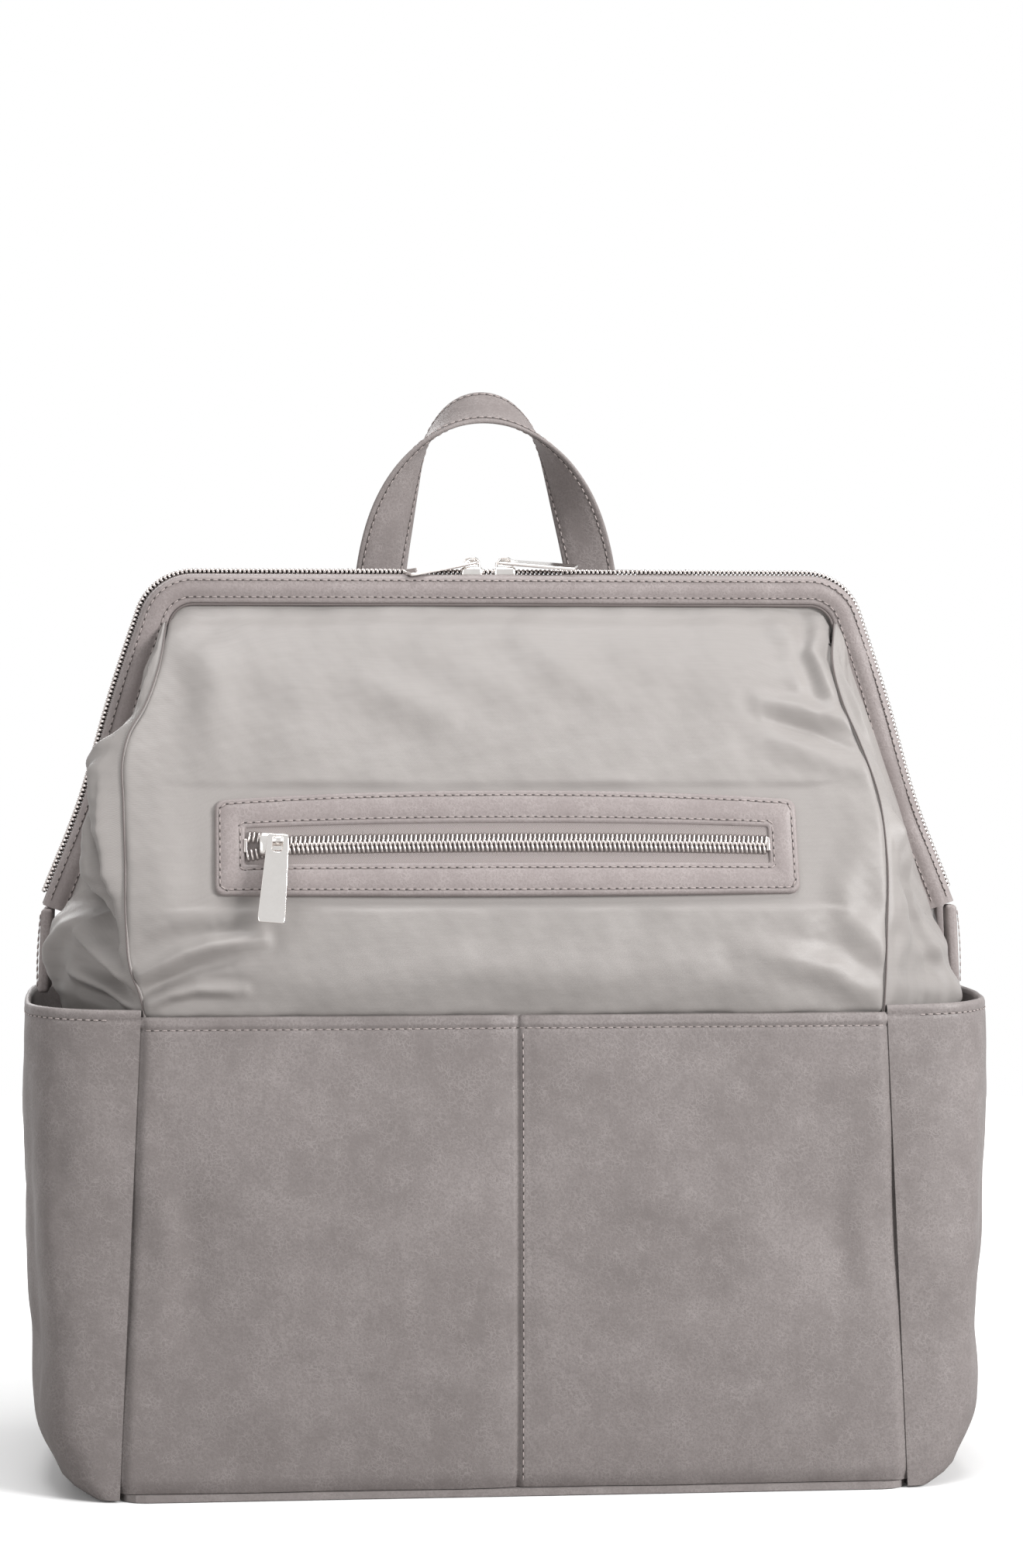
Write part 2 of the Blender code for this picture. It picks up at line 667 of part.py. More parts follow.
def make_handle():
    pivot = joint_empty("handle_joint", (0.0, *HANDLE_FOOT))
    rows = [handle_edges(math.pi * i / HANDLE_STEPS) for i in range(HANDLE_STEPS + 1)]
    sheet("handle", rows, LEATHER, (0, 0, 1), LEATHER_LOOK, pivot, side=0.0)
    surface_low = along_back(0.3495)
    surface_high = along_back(0.3665)
    normal = back_normal(surface_low, surface_high)
    for side, sign in SIDES.items():
        rows = []
        for y, z in (surface_low, surface_high):
            row = []
            for x in (HANDLE_HALF_SPAN - HANDLE_WIDTH / 2, HANDLE_HALF_SPAN + HANDLE_WIDTH / 2):
                row.append((sign * x, y + normal[0] * GAP * 2, z + normal[1] * GAP * 2))
            rows.append(row)
        sheet(f"handle_foot_{side}", rows, LEATHER, (0, 1, 0.5), LEATHER_LOOK, side=1.0)


def along_back(z):
    depth, _ = along(BACK_PROFILE, z)
    return depth, z


def back_normal(low, high):
    """The outward normal (y, z) of the back between two of its points."""
    rise = Vector((high[0] - low[0], high[1] - low[1])).normalized()
    return rise.y, -rise.x


def strap_path():
    """(y, z) points down the outer face of the back, a little clear of it."""
    points = []
    for z in STRAP_HEIGHTS:
        if z > BACK_PROFILE[0][1]:
            points.append(along_back(z))
        else:
            points.append((HALF_DEPTH, z))
    moved = []
    for i, point in enumerate(points):
        above = points[max(i - 1, 0)]
        below = points[min(i + 1, len(points) - 1)]
        normal = back_normal(below, above)
        moved.append((point[0] + normal[0] * STRAP_CLEAR, point[1] + normal[1] * STRAP_CLEAR))
    return moved


def make_straps():
    path = strap_path()
    for side, sign in SIDES.items():
        rows = []
        for i, ((y, z), width) in enumerate(zip(path, STRAP_WIDTHS)):
            x = STRAP_X + STRAP_DRIFT * i / (len(path) - 1)
            rows.append([(sign * (x + width * share), y, z) for share in (-0.5, 0.0, 0.5)])
        pad = sheet(f"shoulder_strap_{side}", rows, PADDING, (0, 1, 0.2), BACK_LOOK, side=1.0)
        pad.modifiers["thickness"].use_even_offset = False

        half = ANCHOR_WIDTH / 2
        ends = (sign * STRAP_X - half, sign * STRAP_X + half)
        rows = [[(x, y, z) for x in ends] for y, z in ANCHOR_PATH]
        sheet(f"strap_anchor_{side}", rows, ANCHOR_THICKNESS, (0, 0.3, 1), LEATHER_LOOK, side=1.0)
        make_webbing(side, sign)


def make_webbing(side, sign):
    """Webbing from the pad's lower end to a leather tab at the bottom corner, with its adjuster."""
    top = Vector((sign * WEBBING_TOP.x, WEBBING_TOP.y, WEBBING_TOP.z))
    low = Vector((sign * WEBBING_LOW.x, WEBBING_LOW.y, WEBBING_LOW.z))
    run = low - top
    lean = Matrix.Rotation(math.atan2(run.x, -run.z), 4, "Y").inverted()
    middle = (top + low) / 2
    size = (WEBBING_WIDTH, WEBBING_THICKNESS, run.length)
    box(f"strap_webbing_{side}", size, middle, WEBBING_LOOK, turn=lean)

    joint = joint_empty(f"strap_adjuster_{side}_joint", top + run * ADJUSTER_ALONG)
    place = joint.location.copy()
    adjuster = box(f"strap_adjuster_{side}", ADJUSTER_SIZE, place, METAL_LOOK, joint, turn=lean)
    tunnel = (
        WEBBING_WIDTH + TUNNEL_CLEAR[0],
        WEBBING_THICKNESS + TUNNEL_CLEAR[1],
        ADJUSTER_SIZE[2] * 2,
    )
    cutter = box(f"adjuster_{side}_cutter", tunnel, place, METAL_LOOK, turn=lean)
    combine(adjuster, cutter, "DIFFERENCE")

    corner = low + run.normalized() * (GAP + TAB_SIZE[2] / 2)
    box(f"strap_tab_{side}", TAB_SIZE, corner, LEATHER_LOOK, bevel=0.001, turn=lean)


# ------------------------------------------------------------------ the bag
def main():
    make_lower_body()
    for side, sign in SIDES.items():
        make_side(side, sign)
    make_lining()
    front_hoop = joint_empty("front_frame_joint", HOOP_PIVOT)
    make_hoop("front", -1.0, front_hoop)
    make_hoop("rear", 1.0, None)
    make_upper_shell("front", FRONT_PROFILE, -1.0, front_hoop)
    make_upper_shell("rear", BACK_PROFILE, 1.0, None)
    teeth_top = make_pocket(front_hoop)
    make_pocket_slider(front_hoop, teeth_top)
    make_top_sliders()
    make_handle()
    make_straps()


main()
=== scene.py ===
"""Looks of the wide-mouth diaper backpack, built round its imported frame.

Metres, +Z up. The front faces -Y, and the origin is the middle of the face that it rests on.
"""

import math

import bmesh
import bpy
import numpy as np
from mathutils import Matrix, Vector


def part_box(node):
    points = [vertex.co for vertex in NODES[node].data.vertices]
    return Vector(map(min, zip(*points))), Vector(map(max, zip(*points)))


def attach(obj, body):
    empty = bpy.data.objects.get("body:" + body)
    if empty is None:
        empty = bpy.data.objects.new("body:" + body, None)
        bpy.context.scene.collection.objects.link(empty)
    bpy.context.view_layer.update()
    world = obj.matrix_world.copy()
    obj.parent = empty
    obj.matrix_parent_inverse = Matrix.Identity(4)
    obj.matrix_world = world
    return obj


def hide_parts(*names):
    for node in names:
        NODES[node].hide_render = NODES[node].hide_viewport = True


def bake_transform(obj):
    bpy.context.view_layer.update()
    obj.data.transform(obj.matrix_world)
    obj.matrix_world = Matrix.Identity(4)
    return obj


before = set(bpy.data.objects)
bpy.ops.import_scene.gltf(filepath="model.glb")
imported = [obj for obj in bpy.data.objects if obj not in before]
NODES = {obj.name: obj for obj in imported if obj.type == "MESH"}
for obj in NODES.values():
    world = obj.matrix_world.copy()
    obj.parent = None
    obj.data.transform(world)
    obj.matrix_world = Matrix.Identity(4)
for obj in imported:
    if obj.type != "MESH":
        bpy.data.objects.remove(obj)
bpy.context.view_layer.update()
SIDES = {"left": -1.0, "right": 1.0}
HOOPS = {"front": (-1.0, "front_frame"), "rear": (1.0, "root")}

# ------------------------------------------------------------------ dimensions
# Lower body
BASE_HALF_WIDTH = 0.1715
WAIST_HALF_WIDTH = 0.162
HALF_DEPTH = 0.085
FRONT_FACE = 0.0874
WAIST_Z = 0.205
FLOOR_Z = 0.0033
POCKET_RIM_Z = 0.2100
POCKET_BULGE = ((0.0006, 0.0160), (0.0040, 0.0235), (0.0150, 0.0325), (0.0700, 0.0430),
                (0.1400, 0.0500), (0.2120, 0.0540))
POCKET_SQUARE = 0.55
POCKET_WALL = 0.0024

# Mouth hoops
HOOP_TOP_Z = 0.400
HOOP_FOOT = (0.2067, 0.2525)
HOOP_CORNER_HALF_WIDTH = 0.1565
HOOP_CORNER_RADIUS = 0.024
HOOP_BOW = 0.0030           # how far the legs bend inwards
HOOP_BOW_Z = 0.298
BAND_HEIGHT = 0.0125
BAND_SECTION = (            # inset from the hoop's outline, distance from the mouth's middle plane
    (0.0013, 0.0079), (0.0003, 0.0088), (-0.0003, 0.0103), (-0.0003, 0.0121), (0.0004, 0.0137),
    (0.0017, 0.0146), (0.0028, 0.0146), (0.0045, 0.0152), (0.0065, 0.0154), (0.0085, 0.0151),
    (0.0098, 0.0145), (0.0112, 0.0147), (0.0123, 0.0142), (0.0128, 0.0132), (0.0126, 0.0120),
    (0.0110, 0.0108), (0.0065, 0.0100), (0.0026, 0.0090),
)
SLEEVE_SIZE = (0.0050, 0.0100, 0.0375)
SLEEVE_X = 0.2060
SLEEVE_Y = 0.0125
SLEEVE_TOP_Z = 0.2509
NYLON_INSET = 0.0105        # where the nylon goes into the band
NYLON_DEPTH = 0.0128
CORNER_TIP = (0.1521, 0.3803)       # where the side seams meet the bands

# Upper body: (height, value), all measured from the bag's middle planes
FRONT_SEAM_X = {
    "left": ((0.190, 0.1610), (0.206, 0.1614), (0.216, 0.1630), (0.228, 0.1674), (0.245, 0.1692),
             (0.275, 0.1698), (0.300, 0.1708), (0.318, 0.1712), (0.330, 0.1682), (0.340, 0.1624),
             (0.357, 0.1562), (0.3803, 0.1521)),
    "right": ((0.190, 0.1612), (0.212, 0.1618), (0.240, 0.1632), (0.275, 0.1650), (0.302, 0.1630),
              (0.326, 0.1562), (0.343, 0.1504), (0.362, 0.1480), (0.3803, 0.1521)),
}
FRONT_SEAM_DEPTH = ((0.190, 0.0825), (0.204, 0.0838), (0.225, 0.0845), (0.250, 0.0802), (0.275, 0.0732),
                    (0.300, 0.0642), (0.326, 0.0532), (0.350, 0.0400), (0.370, 0.0245), (0.3803, 0.0128))
FRONT_DEPTH = ((0.198, 0.0836), (0.205, 0.0850), (0.213, 0.0872), (0.225, 0.0886), (0.240, 0.0866),
               (0.256, 0.0822), (0.270, 0.0769), (0.284, 0.0717), (0.298, 0.0664), (0.312, 0.0609),
               (0.335, 0.0500), (0.355, 0.0398), (0.372, 0.0280), (0.384, 0.0180), (0.390, 0.0128))
REAR_SEAM_X = ((0.190, 0.1610), (0.2625, 0.1630), (0.305, 0.1650), (0.348, 0.1600), (0.3803, 0.1521))
REAR_SEAM_DEPTH = ((0.190, 0.0815), (0.240, 0.0815), (0.2625, 0.0808), (0.305, 0.0715),
                   (0.348, 0.0485), (0.370, 0.0275), (0.3803, 0.0128))
REAR_DEPTH = ((0.255, 0.0846), (0.2625, 0.0844), (0.285, 0.0806), (0.305, 0.0756), (0.327, 0.0640),
              (0.348, 0.0516), (0.368, 0.0340), (0.380, 0.0215), (0.390, 0.0128))
LEG_SLOPE = (HOOP_CORNER_HALF_WIDTH - HOOP_FOOT[0]) / (HOOP_TOP_Z - HOOP_FOOT[1])
MID_SIDE_X = ((0.0033, 0.1650), (0.100, 0.1630), (0.140, 0.1650), (0.165, 0.1730), (0.190, 0.1880),
              (0.210, 0.1985), (0.228, 0.2010), (0.243, 0.2000), (0.2525, 0.1956), (0.300, 0.1794),
              (0.340, 0.1658), (0.3803, 0.1523))
MID_SIDE_DEPTH = ((0.190, 0.0), (0.234, 0.0002), (0.244, 0.0060), (0.2525, 0.0118), (0.262, 0.0126),
                  (0.3803, 0.0126))
GUSSET_LOW_Z = 0.200

# Front zip pocket, in the plane of the panel
PANEL_LOW = Vector((0.0, -0.0825, 0.256))
PANEL_HIGH = Vector((0.0, -0.0615, 0.312))
POCKET_X = -0.003
POCKET_SIZE = (0.254, 0.043)
POCKET_SLOT = (0.228, 0.0162)
POCKET_RISE = 0.0045
POCKET_TEETH_LIFT = 0.0025
POCKET_SLIDER_X = -0.103
STITCH_PITCH = 0.0035
COIL_PITCH = 0.0020

# Sliders
BAR_HEIGHT = 0.0068
TOP_SLIDERS_X = {"left": -0.0135, "right": 0.0015}
TOP_PULLER = (0.0335, 0.0088, 0.0014)
POCKET_PULLER = (0.0375, 0.0118, 0.0013)

# Handle
HANDLE_X = -0.0034
HANDLE_HALF_SPAN = 0.0511
HANDLE_FOOT = (0.0360, 0.3700)
HANDLE_TOP_Z = 0.4800
HANDLE_LEAN = -0.0020
HANDLE_WIDTH = 0.0235
HANDLE_THICKNESS = 0.0030
HANDLE_TURN = (math.radians(-90), 0.862)    # at the foot; share of the rise where it lies flat

# Shoulder straps
STRAP_X = 0.078
STRAP_DRIFT = 0.012
STRAP_PATH = ((0.3640, 0.026), (0.3480, 0.032), (0.3050, 0.052), (0.2625, 0.058), (0.2100, 0.058),
              (0.1700, 0.050), (0.1400, 0.040))
ANCHOR_WIDTH = 0.0245
ANCHOR_PATH = ((0.0168, 0.3905), (0.0175, 0.3960), (0.0190, 0.4004), (0.0212, 0.4018), (0.0235, 0.4006),
               (0.0268, 0.3950), (0.0300, 0.3880), (0.0330, 0.3790), (0.0352, 0.3700))
WEBBING_TOP = Vector((0.0905, 0.0884, 0.1325))
WEBBING_LOW = Vector((0.1440, 0.0884, 0.0400))
WEBBING_SIZE = (0.025, 0.0016)
ADJUSTER_SIZE = (0.0320, 0.0052, 0.0200)
ADJUSTER_ALONG = 0.35
TAB_SIZE = (0.030, 0.0036, 0.022)

# ------------------------------------------------------------------ colours (linear)
LEATHER = ((0.225, 0.200, 0.195), (0.168, 0.148, 0.143), (0.345, 0.314, 0.307))
HANDLE_LEATHER = ((0.254, 0.226, 0.220), (0.190, 0.167, 0.162), (0.375, 0.341, 0.334))
BAND_LEATHER = ((0.290, 0.254, 0.248), (0.222, 0.191, 0.186), (0.385, 0.346, 0.338))
NYLON = ((0.304, 0.283, 0.272), (0.248, 0.231, 0.221))
LINING = ((0.090, 0.081, 0.077), (0.068, 0.060, 0.057))
TAPE = ((0.350, 0.312, 0.303), (0.235, 0.206, 0.199))
BACK = ((0.180, 0.166, 0.160), (0.135, 0.124, 0.119))
WEBBING = ((0.225, 0.205, 0.197), (0.160, 0.144, 0.138))
THREAD = ((0.430, 0.375, 0.362), (0.330, 0.285, 0.274))
# dark cords in the seam creases and under the bands' lower edges: painted shade
SEAM_SHADE = ((0.165, 0.141, 0.136), (0.125, 0.106, 0.102))
# painted shade inside the needle holes
HOLE_SHADE = ((0.075, 0.063, 0.060), (0.050, 0.042, 0.040))
NICKEL = ((0.860, 0.830, 0.805), (0.760, 0.730, 0.705))
COIL = ((0.650, 0.605, 0.585), (0.470, 0.430, 0.412))
STEEL = ((0.500, 0.500, 0.510), (0.380, 0.380, 0.390))
BOARD = ((0.050, 0.050, 0.050), (0.035, 0.035, 0.035))


# ------------------------------------------------------------------ materials
class Shades:
    """Builds one procedural material, node by node."""

    def __init__(self, name, roughness, metallic=0.0, specular=0.5, sheen=0.0):
        self.material = bpy.data.materials.new(name)
        self.material.use_nodes = True
        self.tree = self.material.node_tree
        self.shader = self.tree.nodes["Principled BSDF"]
        self.shader.inputs["Roughness"].default_value = roughness
        self.shader.inputs["Metallic"].default_value = metallic
        self.shader.inputs["Specular IOR Level"].default_value = specular
        self.shader.inputs["Sheen Weight"].default_value = sheen
        self.coordinates = self.tree.nodes.new("ShaderNodeTexCoord")

    def node(self, kind, settings=None, **inputs):
        made = self.tree.nodes.new(kind)
        for key, value in (settings or {}).items():
            setattr(made, key, value)
        for key, value in inputs.items():
            socket = made.inputs[int(key[1:])] if key[1:].isdigit() else made.inputs[key.replace("_", " ")]
            if isinstance(value, bpy.types.NodeSocket):
                self.tree.links.new(value, socket)
            else:
                socket.default_value = value
        return made

    def placed(self, space, scale=(1.0, 1.0, 1.0), turn=(0.0, 0.0, 0.0)):
        """Texture coordinates in metres: space is Object or UV."""
        made = self.node("ShaderNodeMapping", Vector=self.coordinates.outputs[space])
        made.inputs["Scale"].default_value = scale
        made.inputs["Rotation"].default_value = turn
        return made.outputs["Vector"]

    def noise(self, space, scale, detail=3.0, rough=0.5, stretch=(1.0, 1.0, 1.0), turn=(0.0, 0.0, 0.0)):
        made = self.node(
            "ShaderNodeTexNoise",
            Vector=self.placed(space, stretch, turn),
            Scale=scale,
            Detail=detail,
            Roughness=rough,
        )
        return made.outputs["Fac"]

    def cells(self, space, scale, feature="F1", randomness=1.0, warp=None, flat=(1.0, 1.0, 1.0)):
        vector = self.placed(space, flat)
        if warp:
            shake = self.node("ShaderNodeTexNoise", Vector=vector, Scale=warp[0])
            mixed = self.node("ShaderNodeVectorMath", {"operation": "SCALE"}, _0=shake.outputs["Color"])
            mixed.inputs["Scale"].default_value = warp[1]
            added = self.node("ShaderNodeVectorMath", _0=vector, _1=mixed.outputs["Vector"])
            vector = added.outputs["Vector"]
        made = self.node("ShaderNodeTexVoronoi", {"feature": feature}, Vector=vector, Scale=scale)
        made.inputs["Randomness"].default_value = randomness
        return made.outputs["Distance"]

    def wave(self, space, pitch, turn=0.0, distortion=0.0, profile="SIN"):
        """Parallel threads, pitch apart, along a direction turned in the surface."""
        made = self.node(
            "ShaderNodeTexWave",
            {"wave_profile": profile},
            Vector=self.placed(space, turn=(0.0, 0.0, turn)),
            Scale=math.pi / 10 / pitch,
            Distortion=distortion,
        )
        return made.outputs["Fac"]

    def math(self, operation, a, b=0.0):
        return self.node("ShaderNodeMath", {"operation": operation}, _0=a, _1=b).outputs[0]

    def spread(self, value, low, high, out_low=0.0, out_high=1.0):
        made = self.node("ShaderNodeMapRange", Value=value)
        for key, number in zip(("From Min", "From Max", "To Min", "To Max"), (low, high, out_low, out_high)):
            made.inputs[key].default_value = number
        return made.outputs["Result"]

    def mix(self, share, a, b, mode="MIX"):
        """Mixes two colours; each is a tuple or a socket."""
        made = self.node("ShaderNodeMix", {"data_type": "RGBA", "blend_type": mode})
        for index, value in ((0, share), (6, a), (7, b)):
            if isinstance(value, bpy.types.NodeSocket):
                self.tree.links.new(value, made.inputs[index])
            elif isinstance(value, tuple):
                made.inputs[index].default_value = (*value, 1.0)
            else:
                made.inputs[index].default_value = value
        return made.outputs[2]

    def bump(self, height, strength, distance, below=None):
        made = self.node("ShaderNodeBump", Height=height, Strength=strength, Distance=distance)
        if below:
            self.tree.links.new(below, made.inputs["Normal"])
        return made.outputs["Normal"]

    def finish(self, colour, normal=None, roughness=None):
        self.tree.links.new(colour, self.shader.inputs["Base Color"])
        if normal:
            self.tree.links.new(normal, self.shader.inputs["Normal"])
        if roughness:
            self.tree.links.new(roughness, self.shader.inputs["Roughness"])
        return self.material


def worn(made, colour, lighter, amount):
    """Lightens a colour along convex edges, where the piece rubs."""
    edge = made.node("ShaderNodeNewGeometry").outputs["Pointiness"]
    patchy = made.math("MULTIPLY", made.spread(edge, 0.515, 0.60), made.noise("Object", 160.0))
    return made.mix(made.math("MULTIPLY", patchy, amount), colour, lighter)


def leather_look(name, tones, specular=0.32):
    """Faux leather: mottled, with faint diagonal rubs, creases and a fine pebble."""
    made = Shades(name, 0.5, specular=specular)
    middle, dark, light = tones
    clouds = made.noise("Object", 15.0, 4.0, 0.5)
    rubs = made.noise("Object", 42.0, 5.0, 0.6, (1.0, 1.0, 0.6), (0.0, math.radians(35), 0.0))
    flecks = made.noise("Object", 900.0, 3.0, 0.7)
    colour = made.mix(made.spread(clouds, 0.38, 0.64, 0.30, 1.0), dark, middle)
    colour = made.mix(made.spread(rubs, 0.46, 0.78, 0.0, 0.34), colour, light)
    colour = made.mix(made.spread(flecks, 0.42, 0.60, 0.0, 0.60), colour, dark)
    creases = made.cells("Object", 520.0, "DISTANCE_TO_EDGE", 1.0, (260.0, 0.0050))
    crease = made.spread(creases, 0.0, 0.16, 1.0, 0.0)
    broken = made.spread(made.noise("Object", 120.0, 4.0, 0.6), 0.34, 0.66)
    crease = made.math("MULTIPLY", crease, broken)
    colour = made.mix(made.math("MULTIPLY", crease, 0.38), colour, light)
    colour = worn(made, colour, light, 0.5)
    pebble = made.cells("Object", 1150.0, "F1", 1.0, (900.0, 0.0006))
    soft = made.bump(made.noise("Object", 130.0, 4.0, 0.6), 0.30, 0.0010)
    fine = made.bump(pebble, 0.16, 0.00016, soft)
    lines = made.bump(crease, 0.22, 0.0002, fine)
    return made.finish(colour, lines, made.spread(clouds, 0.3, 0.7, 0.55, 0.44))


def nylon_look(name, tones):
    """Fine twill with a satin sheen."""
    made = Shades(name, 0.5, specular=0.35, sheen=0.10)
    made.shader.inputs["Sheen Roughness"].default_value = 0.4
    light, dark = tones
    twill = made.wave("UV", 0.00052, math.radians(58), 0.35)
    cross = made.wave("UV", 0.00040, math.radians(-4))
    slub = made.noise("UV", 900.0, 2.0, 0.5, (0.06, 1.0, 1.0), (0.0, 0.0, math.radians(58)))
    clouds = made.noise("Object", 16.0, 3.0)
    colour = made.mix(made.spread(twill, 0.1, 0.9, 0.0, 0.42), light, dark)
    colour = made.mix(made.spread(slub, 0.4, 0.7, 0.0, 0.25), colour, dark)
    colour = made.mix(made.spread(clouds, 0.35, 0.7, 0.0, 0.30), colour, dark)
    height = made.math("ADD", made.math("MULTIPLY", twill, 0.7), made.math("MULTIPLY", cross, 0.3))
    crumple = made.bump(made.noise("Object", 55.0, 4.0, 0.55), 0.16, 0.0016)
    normal = made.bump(height, 0.28, 0.00012, crumple)
    return made.finish(colour, normal, made.spread(clouds, 0.3, 0.7, 0.42, 0.52))


def plain_weave_look(name, tones, pitch=0.0009, roughness=0.8):
    made = Shades(name, roughness, specular=0.25, sheen=0.05)
    light, dark = tones
    warp = made.wave("UV", pitch, 0.0, 0.4)
    weft = made.wave("UV", pitch, math.radians(90), 0.4)
    height = made.math("MULTIPLY", warp, weft)
    clouds = made.noise("Object", 40.0, 4.0)
    colour = made.mix(made.spread(height, 0.0, 0.7), dark, light)
    colour = made.mix(made.spread(clouds, 0.4, 0.7, 0.0, 0.4), colour, dark)
    return made.finish(colour, made.bump(height, 0.4, 0.00025))


def herringbone_look(name, tones):
    """Zip tape: slanting ribs that turn at every column."""
    made = Shades(name, 0.75, specular=0.25, sheen=0.05)
    light, dark = tones
    parts = made.node("ShaderNodeSeparateXYZ", Vector=made.coordinates.outputs["UV"])
    fold = made.node("ShaderNodeMath", {"operation": "PINGPONG"}, _0=parts.outputs[0], _1=0.0016).outputs[0]
    slant = made.math("ADD", made.math("MULTIPLY", fold, 1.0), parts.outputs[1])
    rib = made.math("SINE", made.math("MULTIPLY", slant, 2 * math.pi / 0.00075))
    height = made.spread(rib, -1.0, 1.0)
    colour = made.mix(made.spread(rib, -0.6, 0.9), dark, light)
    return made.finish(colour, made.bump(height, 0.5, 0.0003))


def webbing_look(name, tones):
    made = Shades(name, 0.7, specular=0.3, sheen=0.05)
    light, dark = tones
    ribs = made.wave("UV", 0.0013, math.radians(90), 0.3)
    warps = made.wave("UV", 0.0021, 0.0, 0.2)
    height = made.math("ADD", made.math("MULTIPLY", ribs, 0.7), made.math("MULTIPLY", warps, 0.4))
    colour = made.mix(made.spread(height, 0.1, 0.9), dark, light)
    return made.finish(colour, made.bump(height, 0.6, 0.0004))


def mesh_fabric_look(name, tones):
    """Spacer mesh on the back and the straps: rows of small holes over a soft weave, with painted shade darkening the
    holes.
    """
    made = Shades(name, 0.85, specular=0.2, sheen=0.12)
    light, dark = tones
    holes = made.cells("Object", 330.0, "F1", 0.08, flat=(1.0, 0.0, 1.0))
    fuzz = made.noise("Object", 700.0, 4.0, 0.6)
    clouds = made.noise("Object", 22.0, 3.0)
    hole_shade_share = made.spread(holes, 0.20, 0.34, 1.0, 0.0)
    colour = made.mix(made.spread(clouds, 0.35, 0.7), light, dark)
    # the holes are painted near-black: painted shade inside the mesh
    colour = made.mix(made.math("MULTIPLY", hole_shade_share, 0.7), colour, (0.05, 0.045, 0.042))
    height = made.math("ADD", made.spread(holes, 0.15, 0.45), made.math("MULTIPLY", fuzz, 0.35))
    return made.finish(colour, made.bump(height, 0.55, 0.0007))


def thread_look(name, tones):
    made = Shades(name, 0.6, specular=0.3)
    light, dark = tones
    twist = made.wave("Object", 0.00042, math.radians(50), 0.5)
    colour = made.mix(twist, dark, light)
    return made.finish(colour, made.bump(twist, 0.4, 0.0001))


def metal_look(name, tones, roughness, brushed=0.12):
    """Plated metal with fine brush marks and soft handling marks."""
    made = Shades(name, roughness, metallic=1.0)
    light, dark = tones
    brush = made.noise("Object", 900.0, 3.0, 0.6, (1.0, 0.08, 0.08))
    marks = made.noise("Object", 120.0, 4.0, 0.6)
    colour = made.mix(made.spread(marks, 0.35, 0.7, 0.0, 0.8), light, dark)
    normal = made.bump(brush, brushed, 0.00008)
    return made.finish(colour, normal, made.spread(marks, 0.3, 0.75, roughness * 0.75, roughness * 1.5))


def plastic_look(name, tones, roughness):
    made = Shades(name, roughness, specular=0.4)
    light, dark = tones
    grain = made.noise("Object", 800.0, 3.0)
    colour = made.mix(made.spread(made.noise("Object", 40.0), 0.35, 0.7), light, dark)
    return made.finish(colour, made.bump(grain, 0.2, 0.0002))


LOOKS = {
    "leather": (leather_look("leather", LEATHER), "leather"),
    "handle": (leather_look("handle_leather", HANDLE_LEATHER, 0.05), "leather"),
    "band": (leather_look("band_leather", BAND_LEATHER), "leather"),
    "nylon": (nylon_look("nylon", NYLON), "nylon"),
    "lining": (plain_weave_look("lining", LINING), "lining"),
    "tape": (herringbone_look("zip_tape", TAPE), "zip_tape"),
    "back": (mesh_fabric_look("back_mesh", BACK), "back_fabric"),
    "webbing": (webbing_look("webbing", WEBBING), "webbing"),
    "thread": (thread_look("thread", THREAD), "leather"),
    # painted shade inside the needle holes
    "hole_shade": (thread_look("needle_hole_shade", HOLE_SHADE), "leather"),
    # painted shade in the seam creases and under the bands
    "band_edge_shadow": (thread_look("band_edge_shadow", SEAM_SHADE), "leather"),
    "teeth": (metal_look("zip_teeth", COIL, 0.26), "zip_teeth"),
    "nickel": (metal_look("nickel", NICKEL, 0.16), "nickel"),
    "steel": (metal_look("steel", STEEL, 0.35), "steel_wire"),
    "board": (plastic_look("board", BOARD, 0.6), "board"),
}


# ------------------------------------------------------------------ curves and fields
def smooth(t):
    t = np.clip(t, 0.0, 1.0)
    return t * t * (3 - 2 * t)


def hump(value, centre, width):
    return np.exp(-(((value - centre) / width) ** 2))


def through(pairs):
    """A smooth function through (position, value) pairs, level beyond its ends."""
    xs, ys = np.array(pairs, float).T
    slopes = np.gradient(ys, xs)

    def value(x):
        x = np.clip(x, xs[0], xs[-1])
        i = np.clip(np.searchsorted(xs, x) - 1, 0, len(xs) - 2)
        step = xs[i + 1] - xs[i]
        t = (x - xs[i]) / step
        low = (1 + 2 * t) * (1 - t) ** 2 * ys[i] + t * (1 - t) ** 2 * step * slopes[i]
        high = t * t * (3 - 2 * t) * ys[i + 1] + t * t * (t - 1) * step * slopes[i + 1]
        return low + high

    return value


def eased(pairs, x):
    """Value at x of a table, eased between its rows, never past them."""
    xs, ys = np.array(pairs).T
    at = np.clip(np.searchsorted(xs, x) - 1, 0, len(xs) - 2)
    return ys[at] + (ys[at + 1] - ys[at]) * smooth((x - xs[at]) / (xs[at + 1] - xs[at]))


def waves(a, b, seed, size, octaves=3):
    """Soft seeded noise over two coordinates, about -1 to 1, with bumps about size across."""
    rng = np.random.default_rng(seed)
    total = np.zeros(np.broadcast(a, b).shape)
    for octave in range(octaves):
        for _ in range(5):
            angle, phase = rng.uniform(0, 2 * math.pi, 2)
            pitch = size / 2**octave * rng.uniform(0.8, 1.3)
            along = (a * math.cos(angle) + b * math.sin(angle)) * 2 * math.pi / pitch
            total = total + np.sin(along + phase) / 2**octave
    return total / 3.5


